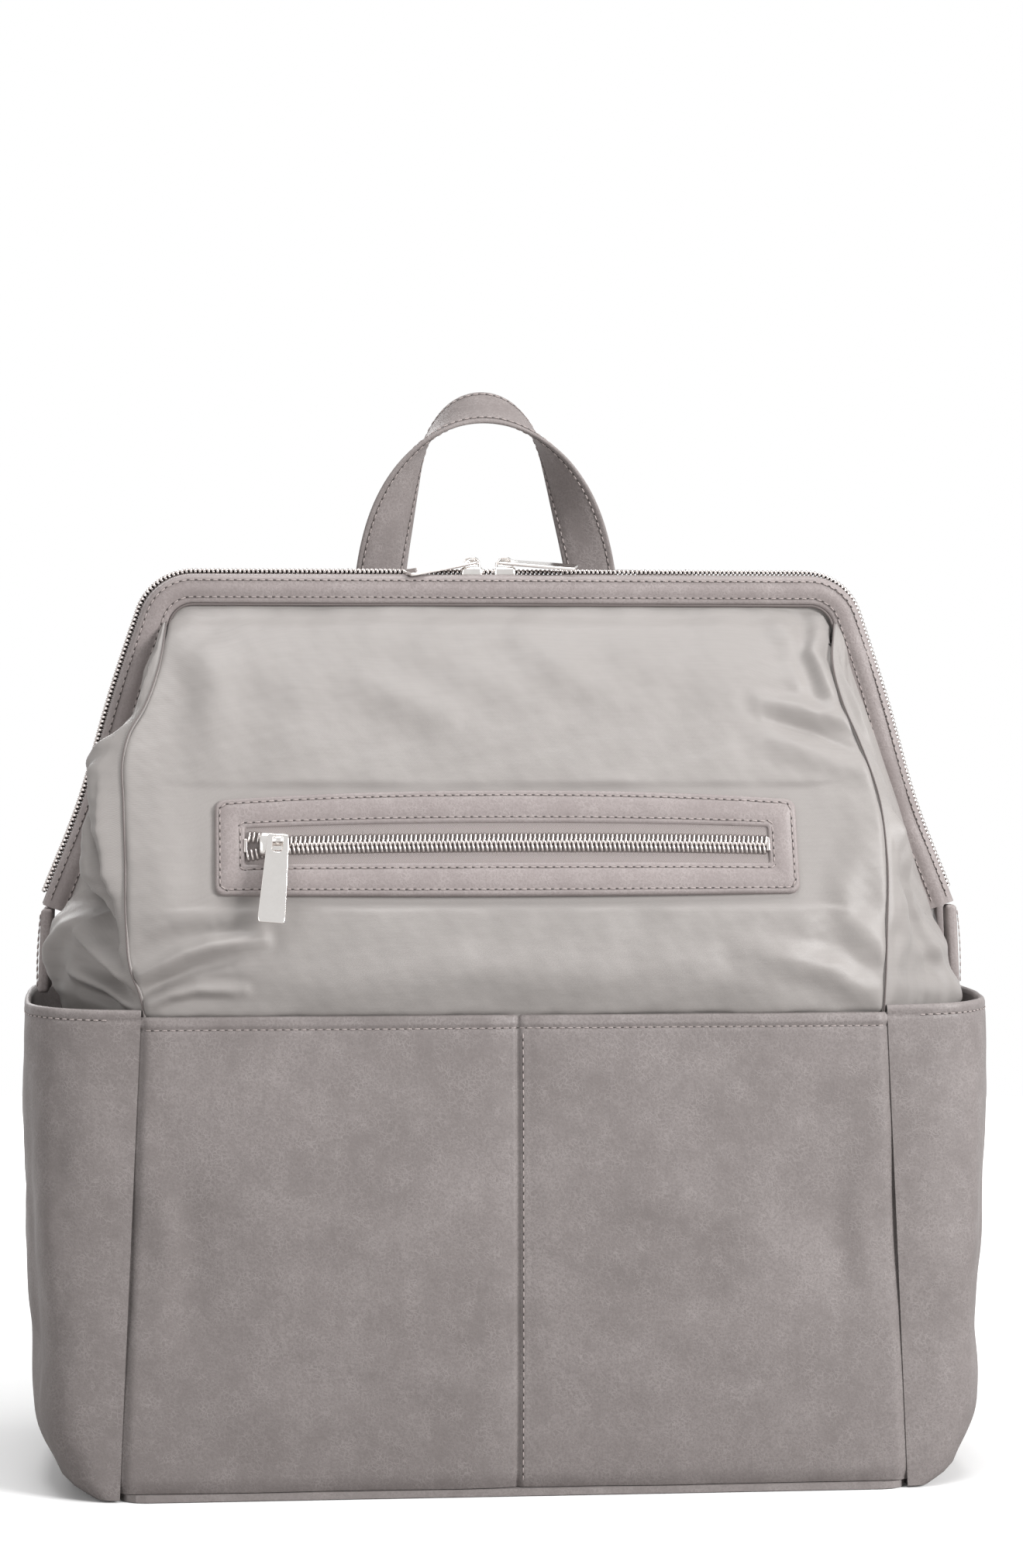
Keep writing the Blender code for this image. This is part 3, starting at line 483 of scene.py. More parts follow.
def fold(a, b, path, width, height, valley=0.5):
    """A ridge along a path over coordinates a and b, with a shallow valley on each side."""
    path = np.array(path, float)
    lengths = np.linalg.norm(np.diff(path, axis=0), axis=1)
    total = lengths.sum()
    best = np.full(a.shape, 1e9)
    share = np.zeros(a.shape)
    run = 0.0
    for start, end, length in zip(path, path[1:], lengths):
        direction = (end - start) / length
        t = np.clip((a - start[0]) * direction[0] + (b - start[1]) * direction[1], 0, length)
        distance = np.hypot(a - start[0] - t * direction[0], b - start[1] - t * direction[1])
        nearer = distance < best
        best = np.where(nearer, distance, best)
        share = np.where(nearer, (run + t) / total, share)
        run += length
    profile = np.exp(-((best / width) ** 2)) - valley * np.exp(-(((best - 1.7 * width) / width) ** 2))
    return height * profile * (0.25 + 0.75 * np.sin(np.pi * np.clip(share, 0.02, 0.98)) ** 0.8)


def grid_normals(points, way):
    """Unit normals of a grid of points, on the side that way points to."""
    down, across = np.gradient(points, axis=(0, 1))
    normals = np.cross(across, down)
    normals /= np.linalg.norm(normals, axis=2, keepdims=True) + 1e-12
    if (normals.reshape(-1, 3) @ np.array(way, float)).sum() < 0:
        normals = -normals
    return normals


def resample(points, pitch, closed=False):
    """Points pitch apart along a path, with the unit tangent at each."""
    points = np.array(points, float)
    if closed:
        points = np.vstack((points, points[:1]))
    steps = np.linalg.norm(np.diff(points, axis=0), axis=1)
    run = np.concatenate(([0.0], np.cumsum(steps)))
    count = max(int(round(run[-1] / pitch)), 1)
    at = (np.arange(count) + 0.5) * run[-1] / count
    placed = np.stack([np.interp(at, run, points[:, k]) for k in range(3)], axis=1)
    ahead = np.stack([np.interp(at + pitch * 0.3, run, points[:, k]) for k in range(3)], axis=1)
    behind = np.stack([np.interp(at - pitch * 0.3, run, points[:, k]) for k in range(3)], axis=1)
    tangents = ahead - behind
    tangents /= np.linalg.norm(tangents, axis=1, keepdims=True)
    return placed, tangents, at / run[-1]


# ------------------------------------------------------------------ meshes
def grid_mesh(name, points, ring=False, caps=False, way=None):
    """Quads through points[row][column], with a UV map in metres. ring joins the last column to the first."""
    rows, columns = points.shape[:2]
    faces = []
    last = columns if ring else columns - 1
    for r in range(rows - 1):
        for c in range(last):
            d = (c + 1) % columns
            faces.append((r * columns + c, r * columns + d, (r + 1) * columns + d, (r + 1) * columns + c))
    grid_faces = len(faces)
    if caps:
        faces.append(tuple(range(columns))[::-1])
        faces.append(tuple(range((rows - 1) * columns, rows * columns)))
    mesh = bpy.data.meshes.new(name)
    mesh.from_pydata(points.reshape(-1, 3).tolist(), [], faces)
    wrapped = np.concatenate((points, points[:, :1]), axis=1) if ring else points
    across = np.cumsum(np.linalg.norm(np.diff(wrapped, axis=1), axis=2), axis=1)
    across = np.concatenate((np.zeros((rows, 1)), across), axis=1)
    across -= across.mean(axis=1, keepdims=True)
    along = np.cumsum(np.linalg.norm(np.diff(wrapped, axis=0), axis=2), axis=0)
    along = np.concatenate((np.zeros((1, wrapped.shape[1])), along), axis=0)
    uv = np.zeros((len(mesh.loops), 2))
    loop = 0
    for r in range(rows - 1):
        for c in range(last):
            for rr, cc in ((r, c), (r, c + 1), (r + 1, c + 1), (r + 1, c)):
                uv[loop] = (across[rr, cc], along[rr, cc])
                loop += 1
    mesh.uv_layers.new(name="weave").data.foreach_set("uv", uv.ravel())
    if way is not None:
        facing = sum((p.normal * p.area for p in mesh.polygons[:grid_faces]), Vector())
        if facing.dot(Vector(way)) < 0:
            mesh.flip_normals()
    elif ring:
        bm = bmesh.new()
        bm.from_mesh(mesh)
        bmesh.ops.recalc_face_normals(bm, faces=bm.faces)
        bm.to_mesh(mesh)
        bm.free()
    mesh.shade_smooth()
    if caps:
        mesh.set_sharp_from_angle(angle=math.radians(60))
    return mesh


def piece(name, mesh, look, body=None, nodes=(), second=None):
    """A finished piece in its look, riding a body and standing for CAD nodes."""
    obj = bpy.data.objects.new(name, mesh)
    bpy.context.scene.collection.objects.link(obj)
    material, slot = LOOKS[look]
    mesh.materials.append(material)
    if second:
        mesh.materials.append(LOOKS[second][0])
    if nodes:
        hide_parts(*nodes)
    if body:
        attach(obj, body)
    return obj


def settle(obj):
    """Applies the modifiers of obj to its mesh."""
    bpy.context.view_layer.update()
    graph = bpy.context.evaluated_depsgraph_get()
    mesh = bpy.data.meshes.new_from_object(obj.evaluated_get(graph), depsgraph=graph)
    obj.modifiers.clear()
    obj.data = mesh
    return obj


def thicken(obj, thickness, inside=True):
    """Gives a sheet its thickness, with the second material on its inner face."""
    solid = obj.modifiers.new("thickness", "SOLIDIFY")
    solid.thickness = thickness
    solid.offset = -1.0
    if inside:
        solid.material_offset = 1
    return settle(obj)


def rounded_rectangle(width, height, radius, corner=6, side=1, centre=(0.0, 0.0)):
    """Points round a rectangle from its right side, with the same count for every size."""
    points = []
    for k in range(4):
        cx = centre[0] + (width / 2 - radius) * (1 if k in (0, 3) else -1)
        cy = centre[1] + (height / 2 - radius) * (1 if k in (0, 1) else -1)
        for i in range(corner + 1):
            angle = (k + i / corner) * math.pi / 2
            points.append((cx + radius * math.cos(angle), cy + radius * math.sin(angle)))
        nx = centre[0] + (width / 2 - radius) * (1 if k in (3, 2) else -1)
        ny = centre[1] + (height / 2 - radius) * (1 if k in (0, 3) else -1)
        turn = (k + 1) * math.pi / 2
        end = (nx + radius * math.cos(turn), ny + radius * math.sin(turn))
        start = points[-1]
        for i in range(1, side):
            t = i / side
            points.append((start[0] + (end[0] - start[0]) * t, start[1] + (end[1] - start[1]) * t))
    return np.array(points)


def sweep(name, centres, sides, ups, section, scale=None):
    """A closed section carried along centres. section is (across, up) points in metres."""
    section = np.array(section, float)
    centres, sides, ups = (np.array(values, float) for values in (centres, sides, ups))
    scale = np.ones(len(centres)) if scale is None else np.array(scale, float)
    points = (
        centres[:, None, :]
        + sides[:, None, :] * (section[None, :, 0:1] * scale[:, None, None])
        + ups[:, None, :] * section[None, :, 1:2]
    )
    return grid_mesh(name, points, ring=True, caps=True)


def strap_section(width, thickness, rows=(0.0026,), dent=0.00035, edge=0.45):
    """A flat strap's section: thin rounded edges, and a dent along each stitch row."""
    shares = np.concatenate((np.linspace(-1, -0.8, 6), np.linspace(-0.7, 0.7, 13), np.linspace(0.8, 1, 6)))
    xs = shares * width / 2
    height = thickness / 2 * (edge + (1 - edge) * (1 - np.abs(shares) ** 5))
    for row in rows:
        height = height - dent * hump(np.abs(xs), width / 2 - row, 0.0009)
    height[0] = height[-1] = height[1] * 0.35
    top = np.stack((xs, height), axis=1)
    return np.concatenate((top, (top * (1, -1))[::-1]))


def capsule_rings(length, radius, sides=6):
    """Ring points of a capsule along X, with pointed ends."""
    rings = []
    for x, r in ((-0.5, 0.3), (-0.36, 0.85), (0.0, 1.0), (0.36, 0.85), (0.5, 0.3)):
        for k in range(sides):
            angle = 2 * math.pi * (k + 0.5) / sides
            rings.append((x * length, r * radius * math.cos(angle), r * radius * math.sin(angle)))
    return np.array(rings), 5, sides


def repeated(name, template, rings, sides, centres, x_axes, y_axes, z_axes):
    """Copies of a ringed template, each in its own axes, as one mesh."""
    count = len(centres)
    points = (
        centres[:, None, :]
        + x_axes[:, None, :] * template[None, :, 0:1]
        + y_axes[:, None, :] * template[None, :, 1:2]
        + z_axes[:, None, :] * template[None, :, 2:3]
    )
    faces = []
    per = rings * sides
    for n in range(count):
        base = n * per
        for r in range(rings - 1):
            for k in range(sides):
                j = (k + 1) % sides
                low = base + r * sides
                faces.append((low + k, low + j, low + sides + j, low + sides + k))
        faces.append(tuple(base + k for k in range(sides))[::-1])
        faces.append(tuple(base + per - sides + k for k in range(sides)))
    mesh = bpy.data.meshes.new(name)
    mesh.from_pydata(points.reshape(-1, 3).tolist(), [], faces)
    mesh.shade_smooth()
    return mesh


def frames_along(tangents, normals):
    """Side and up directions for each tangent, square to it."""
    sides = np.cross(normals, tangents)
    sides /= np.linalg.norm(sides, axis=1, keepdims=True)
    ups = np.cross(tangents, sides)
    return sides, ups


def stitches(name, path, normals, body, closed=False, pitch=STITCH_PITCH, look="thread", length=0.0023):
    """A row of thread stitches along a path on a surface, with dark discs between them: painted shade inside the needle
    holes.
    """
    path = np.array(path, float)
    normals = np.broadcast_to(np.array(normals, float), path.shape)
    centres, tangents, _ = resample(path, pitch, closed)
    nearest = [int(np.argmin(((path - c) ** 2).sum(axis=1))) for c in centres]
    sides, ups = frames_along(tangents, normals[nearest])
    template, rings, around = capsule_rings(length, 0.00030)
    thread = repeated(name, template, rings, around, centres + ups * 0.00006, tangents, sides, ups)
    # flat dark discs between the stitches: painted shade inside the needle holes
    hole_shade_disc, rings, around = capsule_rings(0.0012, 0.00036)
    hole_shade_disc[:, 2] *= 0.25
    between = centres + tangents * (pitch / 2)
    holes = repeated(name, hole_shade_disc, rings, around, between[:-1], tangents[:-1], sides[:-1], ups[:-1])
    holes.polygons.foreach_set("material_index", [1] * len(holes.polygons))
    return piece(name, joined(name, [thread, holes]), look, body, second="hole_shade")


def coil(name, path, normals, body, centre_gap=0.0, reach=0.0030, way=1.0, phase=0.0, nodes=(), cross=0.0007,
         wire=1.0):
    """One half of a coil zip: bent loops along a path, on the way side of it."""
    path = np.array(path, float)
    normals = np.broadcast_to(np.array(normals, float), path.shape)
    centres, tangents, share = resample(path, COIL_PITCH)
    nearest = [int(np.argmin(((path - c) ** 2).sum(axis=1))) for c in centres]
    sides, ups = frames_along(tangents, normals[nearest])
    gap = centre_gap(centres) if callable(centre_gap) else np.full(len(centres), centre_gap)
    spine = ((reach, -0.0006), (reach - 0.0001, 0.0002), (reach * 0.55, 0.0005), (0.0, 0.0005), (-cross, -0.0001))
    rings = []
    around = 6
    for across, up in spine:
        slant = (across / reach - 0.5) * COIL_PITCH * 0.35
        for k in range(around):
            angle = 2 * math.pi * k / around
            thick = wire * (0.00052 if 0 <= across < reach * 0.9 else 0.00040)
            rings.append((slant + 0.00058 * math.cos(angle), across, up * wire + thick * math.sin(angle)))
    template = np.array(rings)
    places = centres + tangents * COIL_PITCH * phase + sides * (gap * way)[:, None]
    mesh = repeated(name, template, len(spine), around, places, tangents, sides * way, ups)
    return piece(name, mesh, "teeth", body, nodes)


def flat_piece(name, outlines, thickness, bevel, matrix):
    """A flat plate with bevelled edges through closed outlines in its own XY plane."""
    curve = bpy.data.curves.new(name, "CURVE")
    curve.dimensions = "2D"
    curve.fill_mode = "BOTH"
    curve.extrude = thickness / 2 - bevel
    curve.bevel_depth = bevel
    curve.bevel_resolution = 2
    curve.offset = -bevel
    for outline in outlines:
        spline = curve.splines.new("POLY")
        spline.points.add(len(outline) - 1)
        for point, (x, y) in zip(spline.points, outline):
            point.co = (x, y, 0.0, 1.0)
        spline.use_cyclic_u = True
    holder = bpy.data.objects.new(name, curve)
    bpy.context.scene.collection.objects.link(holder)
    bpy.context.view_layer.update()
    graph = bpy.context.evaluated_depsgraph_get()
    mesh = bpy.data.meshes.new_from_object(holder.evaluated_get(graph))
    bpy.data.objects.remove(holder)
    bpy.data.curves.remove(curve)
    mesh.transform(matrix)
    mesh.shade_smooth()
    mesh.set_sharp_from_angle(angle=math.radians(30))
    return mesh


def rounded_box(size, centre, bevel, turn=None, segments=4):
    bm = bmesh.new()
    bmesh.ops.create_cube(bm, size=1.0)
    bmesh.ops.scale(bm, vec=size, verts=bm.verts)
    bmesh.ops.bevel(bm, geom=bm.edges[:], offset=bevel, segments=segments, profile=0.5, affect="EDGES")
    if turn:
        bmesh.ops.transform(bm, matrix=turn, verts=bm.verts)
    bmesh.ops.translate(bm, vec=centre, verts=bm.verts)
    mesh = bpy.data.meshes.new("rounded_box")
    bm.to_mesh(mesh)
    bm.free()
    mesh.shade_smooth()
    return mesh


def joined(name, meshes):
    """Several meshes as one."""
    bm = bmesh.new()
    for mesh in meshes:
        bm.from_mesh(mesh)
    made = bpy.data.meshes.new(name)
    bm.to_mesh(made)
    bm.free()
    for mesh in meshes:
        bpy.data.meshes.remove(mesh)
    return made


def plump(obj, voxel, pressure, cap):
    """Fills a padded piece: a cloth shell under pressure, held within cap of its pattern."""
    remesh = obj.modifiers.new("remesh", "REMESH")
    remesh.mode = "VOXEL"
    remesh.voxel_size = voxel
    settle(obj)
    before = np.array([v.co for v in obj.data.vertices])
    cloth = obj.modifiers.new("cloth", "CLOTH")
    cloth.settings.quality = 5
    cloth.settings.use_pressure = True
    cloth.settings.uniform_pressure_force = pressure
    cloth.settings.effector_weights.gravity = 0.0
    cloth.settings.bending_stiffness = 0.6
    cloth.point_cache.frame_start = 1
    cloth.point_cache.frame_end = 20
    scene = bpy.context.scene
    for number in range(1, 21):
        scene.frame_set(number)
    graph = bpy.context.evaluated_depsgraph_get()
    swollen = obj.evaluated_get(graph).to_mesh()
    after = np.array([v.co for v in swollen.vertices])
    obj.modifiers.clear()
    scene.frame_set(1)
    move = after - before
    length = np.linalg.norm(move, axis=1, keepdims=True) + 1e-9
    after = before + move * np.minimum(1.0, cap / length)
    obj.data.vertices.foreach_set("co", after.ravel())
    smoother = obj.modifiers.new("smooth", "SUBSURF")
    smoother.levels = 1
    settle(obj)
    obj.data.shade_smooth()
    return obj


# ------------------------------------------------------------------ shared shapes
def hoop_path(inset, leg=56, corner=18, top=90):
    """(x, z) points of a mouth hoop from its left foot to its right foot, moved in by inset."""
    foot = np.array(HOOP_FOOT)
    tip = np.array((HOOP_CORNER_HALF_WIDTH, HOOP_TOP_Z))
    direction = (tip - foot) / np.linalg.norm(tip - foot)
    lean = math.atan2(direction[1], -direction[0])
    reach = HOOP_CORNER_RADIUS / math.tan((math.pi - lean) / 2)
    centre = np.array((tip[0] - reach, HOOP_TOP_Z - HOOP_CORNER_RADIUS))
    start = math.pi / 2 - lean
    inward = np.array((-math.cos(start), -math.sin(start)))
    radius = HOOP_CORNER_RADIUS - inset
    angles = np.linspace(start, math.pi / 2, corner)
    arc = centre + radius * np.stack((np.cos(angles), np.sin(angles)), axis=1)
    low = foot + inward * inset
    side = low + (arc[0] - low) * np.linspace(0, 1, leg)[:-1, None]
    across = arc[-1] + ((-arc[-1][0], arc[-1][1]) - arc[-1]) * np.linspace(0, 1, top)[1:-1, None]
    right = np.concatenate((side, arc))
    right[:, 0] -= HOOP_BOW * hump(right[:, 1], HOOP_BOW_Z, 0.036)
    left = right * (-1, 1)
    return np.concatenate((left, across[::-1], right[::-1]))


def hoop_points(inset, depth, sign):
    path = hoop_path(inset)
    return np.stack((path[:, 0], np.full(len(path), sign * depth), path[:, 1]), axis=1)


def lower_half_width(z):
    return BASE_HALF_WIDTH + (WAIST_HALF_WIDTH - BASE_HALF_WIDTH) * z / WAIST_Z


SEAM_X = {("front", side): through(FRONT_SEAM_X[side]) for side in SIDES}
SEAM_X.update({("rear", side): through(REAR_SEAM_X) for side in SIDES})
SEAM_DEPTH = {"front": through(FRONT_SEAM_DEPTH), "rear": through(REAR_SEAM_DEPTH)}
CENTRE_DEPTH = {"front": through(FRONT_DEPTH), "rear": through(REAR_DEPTH)}
mid_side_x = through(MID_SIDE_X)
mid_side_depth = through(MID_SIDE_DEPTH)


def seam_point(which, side, z):
    """Half width and depth of an upper side seam at height z, and of the lower seam under it."""
    x = SEAM_X[which, side](z)
    depth = SEAM_DEPTH[which](z)
    low = smooth((0.206 - z) / 0.012)
    return x * (1 - low) + (lower_half_width(z) - 0.0010) * low, depth


def panel_point(which, u, z):
    """A point of the front or rear upper panel. u is -1 at the left seam, 1 at the right."""
    left, depth = seam_point(which, "left", z)
    right, _ = seam_point(which, "right", z)
    x = -left + (left + right) * (u + 1) / 2
    power = 6 if which == "front" else 8
    depth = depth + (CENTRE_DEPTH[which](z) - depth) * (1 - np.abs(u) ** power)
    return x, depth


def band_edge_z(x):
    """Height at which the nylon goes into the band, at a distance x from the middle."""
    tip = HOOP_CORNER_HALF_WIDTH
    lean = math.atan2(1.0, -LEG_SLOPE) if LEG_SLOPE < 0 else math.pi / 2
    centre_x = tip - HOOP_CORNER_RADIUS / math.tan((math.pi - lean) / 2)
    radius = HOOP_CORNER_RADIUS - NYLON_INSET
    over = np.clip((np.abs(x) - centre_x) / radius, 0, 0.948)
    return HOOP_TOP_Z - HOOP_CORNER_RADIUS + radius * np.sqrt(1 - over**2)


# ------------------------------------------------------------------ leather of the lower body
def lower_front_field(u, x, z):
    """How far the lower front stands out from its flat pattern."""
    share = np.clip(z / WAIST_Z, 0, 1)
    out = 0.0036 * np.sin(np.pi * share**0.85) ** 0.7 * (1 - np.abs(u) ** 5)
    out += 0.0014 * np.sin(np.pi * np.abs(u)) * np.sin(np.pi * share)
    out -= 0.0034 * hump(x, -0.139, 0.030) * hump(z, 0.092, 0.038)
    out -= 0.0030 * hump(x, 0.141, 0.026) * hump(z, 0.112, 0.034)
    out += 0.0007 * waves(x, z, 5, 0.090) * (1 - np.abs(u) ** 6)
    out += fold(x, z, ((-0.158, 0.150), (-0.150, 0.105), (-0.156, 0.060)), 0.007, 0.0011)
    out += fold(x, z, ((0.158, 0.160), (0.149, 0.120), (0.157, 0.075)), 0.007, 0.0011)
    out -= 0.0012 * hump(x, 0.0, 0.0010) + 0.0011 * hump(x, 0.0, 0.0065)
    out += 0.0003 * hump(x, 0.0030, 0.0016)
    out -= 0.0004 * hump(z, 0.2022, 0.0009)
    out += 0.0005 * hump(z, 0.2045, 0.0016)
    out -= 0.0024 * np.exp(-((1 - np.abs(u)) * WAIST_HALF_WIDTH / 0.0026) ** 2)
    return out - 0.0016 * np.exp(-((z - FLOOR_Z) / 0.0030) ** 2)


def make_lower_front():
    columns = np.sort(np.concatenate((np.linspace(-1, 1, 150), np.linspace(-0.04, 0.04, 24),
                                      np.linspace(0.96, 0.999, 10), -np.linspace(0.96, 0.999, 10))))
    heights = np.sort(np.concatenate((np.linspace(FLOOR_Z, 0.1980, 90), np.linspace(0.1985, 0.2062, 14))))
    u, z = np.meshgrid(columns, heights)
    x = u * lower_half_width(z)
    y = -(FRONT_FACE - 0.0006) - lower_front_field(u, x, z)
    outer = np.stack((x, y, z), axis=2)
    rows = [outer]
    for back, rise in ((0.0004, 0.0011), (0.0012, 0.0017), (0.0020, 0.0015), (0.0025, 0.0006)):
        rows.append(outer[-1:] + (0, back, rise))
    rows.append(outer[-1:] + (0, 0.0026, -0.0100))
    points = np.concatenate(rows)
    mesh = grid_mesh("lower_front", points, way=(0, -1, 0))
    piece("lower_front", mesh, "leather", "root", ["front_lower_panel"])

    def on_front(xs, zs):
        xs, zs = np.broadcast_arrays(np.array(xs, float), np.array(zs, float))
        us = xs / lower_half_width(zs)
        ys = -(FRONT_FACE - 0.0006) - lower_front_field(us, xs, zs)
        return np.stack((xs, ys, zs), axis=1)

    out = (0.0, -1.0, 0.0)
    stitches("centre_stitches", on_front(0.0022, np.linspace(0.006, 0.2005, 120)), out, "root")
    stitches("hem_stitches", on_front(np.linspace(-0.1600, 0.1600, 160), 0.2022), out, "root")


def pocket_plan(bulge, angle, inset):
    """How far out from the seam and how deep a pocket is at an angle round its plan."""
    out = (bulge - inset) * np.sin(angle) ** POCKET_SQUARE
    depth = (HALF_DEPTH - inset) * np.sign(np.cos(angle)) * np.abs(np.cos(angle)) ** POCKET_SQUARE
    return out, depth


def make_side_pocket(side, sign):
    bulge_at = through(POCKET_BULGE)
    angles = np.linspace(0, math.pi, 120)
    angles = angles - 0.16 * np.sin(4 * angles) / 4
    rim = POCKET_RIM_Z
    heights = np.concatenate(((0.0006, 0.0022, 0.0045, 0.0080, 0.0130), np.linspace(0.019, rim - 0.009, 60),
                              np.linspace(rim - 0.0084, rim - 0.0008, 12)))
    levels = [(z, 0.0, 0) for z in heights]
    levels += [(rim + 0.0003, 0.0003, 0), (rim + 0.0009, 0.0010, 0), (rim + 0.0009, 0.0018, 0),
               (rim + 0.0002, 0.0026, 0), (rim - 0.0016, 0.0029, 0), (rim - 0.0130, 0.0030, 0)]
    levels += [(z, 0.0032, 1) for z in (rim - 0.0135, 0.180, 0.150, 0.110, 0.070, 0.035, 0.020)]
    rows = []
    for z, inset, _ in levels:
        angle = np.clip(angles, 1e-4, math.pi - 1e-4)
        out, depth = pocket_plan(bulge_at(z), angle, inset)
        # leather: soft standing waves, a pinch at the seams and a stitched hem
        window = np.sin(angle) ** 0.5 * smooth(z / 0.03)
        shape = 0.0011 * waves(angle * 0.09, z, 11 + int(sign), 0.085) * window
        shape += 0.0015 * hump(angle, 0.62, 0.16) * np.sin(np.pi * np.clip(z / rim, 0, 1))
        shape -= 0.0013 * hump(angle, 1.02, 0.12) * np.sin(np.pi * np.clip(z / rim, 0, 1)) ** 2
        shape -= 0.0004 * hump(z, rim - 0.0036, 0.0009) * (inset == 0)
        out = out + shape * 0.8 * np.sin(angle)
        depth = depth + np.sign(np.cos(angle)) * shape * np.abs(np.cos(angle)) ** 0.5
        lift = 0.0014 * np.sin(angle) * smooth((z - 0.15) / 0.06)
        x = sign * (lower_half_width(z) - 0.0006 + out)
        rows.append(np.stack((x, -depth, np.full_like(x, z) + lift), axis=1))
    points = np.array(rows)
    mesh = grid_mesh(f"side_pocket_{side}", points, way=(sign, 0, 0))
    columns = len(angles) - 1
    for polygon in mesh.polygons:
        polygon.material_index = levels[polygon.index // columns][2]
    piece(f"pocket_{side}", mesh, "leather", "root", [f"side_pocket_{side}"], second="lining")
    sole = points[0] + (0, 0, 0.0001)
    seam = sole * (0, 1, 1) + (sign * (lower_half_width(0) - 0.0006), 0, 0)
    floor = np.stack((sole, seam), axis=0)
    piece(f"pocket_sole_{side}", grid_mesh("sole", floor, way=(0, 0, -1)), "leather", "root")
    row = points[int(np.argmin(np.abs(heights - (rim - 0.0036))))]
    outward = row - np.array((sign * 0.10, 0.0, 0.0)) * 1.0
    outward[:, 2] = 0
    outward /= np.linalg.norm(outward, axis=1, keepdims=True)
    stitches(f"pocket_stitches_{side}", row[4:-4] + outward[4:-4] * 0.0002, outward[4:-4], "root")


# ------------------------------------------------------------------ nylon of the upper body
PANEL_FOLDS = {
    "front": (
        # path in (x, z), width, height, valley
        (((-0.1700, 0.2310), (-0.1597, 0.2379), (-0.1483, 0.2434), (-0.1300, 0.2470)), 0.0040, -0.0022, -0.2),
        (((-0.1660, 0.2240), (-0.1528, 0.2300), (-0.1437, 0.2345), (-0.1324, 0.2379), (-0.110, 0.2410)),
         0.0034, 0.0026, 0.5),
        (((-0.1640, 0.2170), (-0.1483, 0.2243), (-0.1370, 0.2288), (-0.124, 0.2300)), 0.0026, -0.0016, -0.2),
        (((-0.1620, 0.2115), (-0.1500, 0.2175), (-0.1380, 0.2200), (-0.1180, 0.2190)), 0.0028, 0.0018, 0.5),
        (((0.1150, 0.3350), (0.1363, 0.3305), (0.1530, 0.3210)), 0.0030, -0.0016, -0.3),
        (((0.1120, 0.3430), (0.1320, 0.3390), (0.1540, 0.3360)), 0.0042, 0.0018, 0.5),
        (((0.1640, 0.3120), (0.1380, 0.3180), (0.1120, 0.3280)), 0.0060, 0.0012, 0.5),
        (((0.1600, 0.2870), (0.1400, 0.2620), (0.1090, 0.2260)), 0.0080, 0.0010, 0.4),
        (((0.1620, 0.2120), (0.1350, 0.2270), (0.1000, 0.2360)), 0.0060, 0.0014, 0.5),
        (((0.1640, 0.2330), (0.1450, 0.2500), (0.1390, 0.2680)), 0.0065, 0.0012, 0.4),
        (((0.0000, 0.3790), (0.0180, 0.3630), (0.0440, 0.3460)), 0.0085, 0.0010, 0.4),
        (((-0.0700, 0.3560), (-0.0450, 0.3430), (-0.0200, 0.3300)), 0.0090, 0.0011, 0.4),
        (((-0.1420, 0.3730), (-0.1300, 0.3480), (-0.1330, 0.3200)), 0.0090, 0.0013, 0.4),
        (((0.1435, 0.3790), (0.1385, 0.3640), (0.1450, 0.3450)), 0.0042, 0.0026, 0.6),
        (((0.1200, 0.3840), (0.1310, 0.3690), (0.1330, 0.3520)), 0.0060, 0.0012, 0.4),
        (((-0.1100, 0.2200), (0.0000, 0.2270), (0.1100, 0.2210)), 0.0100, 0.0010, 0.2),
    ),
    "rear": (
        (((-0.1600, 0.3300), (-0.1300, 0.3400), (-0.1000, 0.3380)), 0.0070, 0.0016, 0.4),
        (((0.1600, 0.3250), (0.1350, 0.3390), (0.1050, 0.3430)), 0.0070, 0.0016, 0.4),
        (((-0.0400, 0.3180), (0.0000, 0.3120), (0.0400, 0.3180)), 0.0090, 0.0012, 0.3),
    ),
}


def panel_field(which, u, x, z):
    """Folds, slack and the pull of the seams on an upper panel."""
    out = np.zeros(x.shape)
    for path, width, height, valley in PANEL_FOLDS[which]:
        out += 1.5 * fold(x, z, path, width, height, valley)
    out += 0.0008 * waves(x, z, 3, 0.075) + 0.0003 * waves(x, z, 9, 0.024)
    edge = (1 - np.abs(u)) * 0.165
    out *= smooth(edge / 0.004) * 0.75 + 0.25
    out -= 0.0018 * np.exp(-((edge / 0.0022) ** 2))
    if which == "front":
        # the leather surround holds the nylon flat
        local_x = np.abs(x - POCKET_X) / (POCKET_SIZE[0] / 2 + 0.006)
        local_z = np.abs(z - 0.2805) / 0.0245
        held = smooth((1.16 - np.maximum(local_x, local_z)) / 0.16)
        out = out * (1 - held) - 0.0012 * held
        out -= 0.0012 * hump(z, 0.2068, 0.0016)
    return out


def panel_grid(which, low_z, columns, rows):
    sign = HOOPS[which][0]
    across = np.linspace(-1, 1, columns)
    across = np.sign(across) * (1 - (1 - np.abs(across)) ** 1.25)
    share = np.linspace(0, 1, rows)
    u, v = np.meshgrid(across, share)
    top_x = np.abs(u) * CORNER_TIP[0]
    z = low_z + (band_edge_z(top_x) - low_z) * v
    x, depth = panel_point(which, u, z)
    tuck = smooth((v - 0.93) / 0.07)
    depth = depth * (1 - tuck) + NYLON_DEPTH * tuck
    points = np.stack((x, sign * depth, z), axis=2)
    normals = grid_normals(points, (0, sign, 0.3))
    field = panel_field(which, u, x, z) * (1 - smooth((v - 0.965) / 0.035))
    return points + normals * field[..., None]


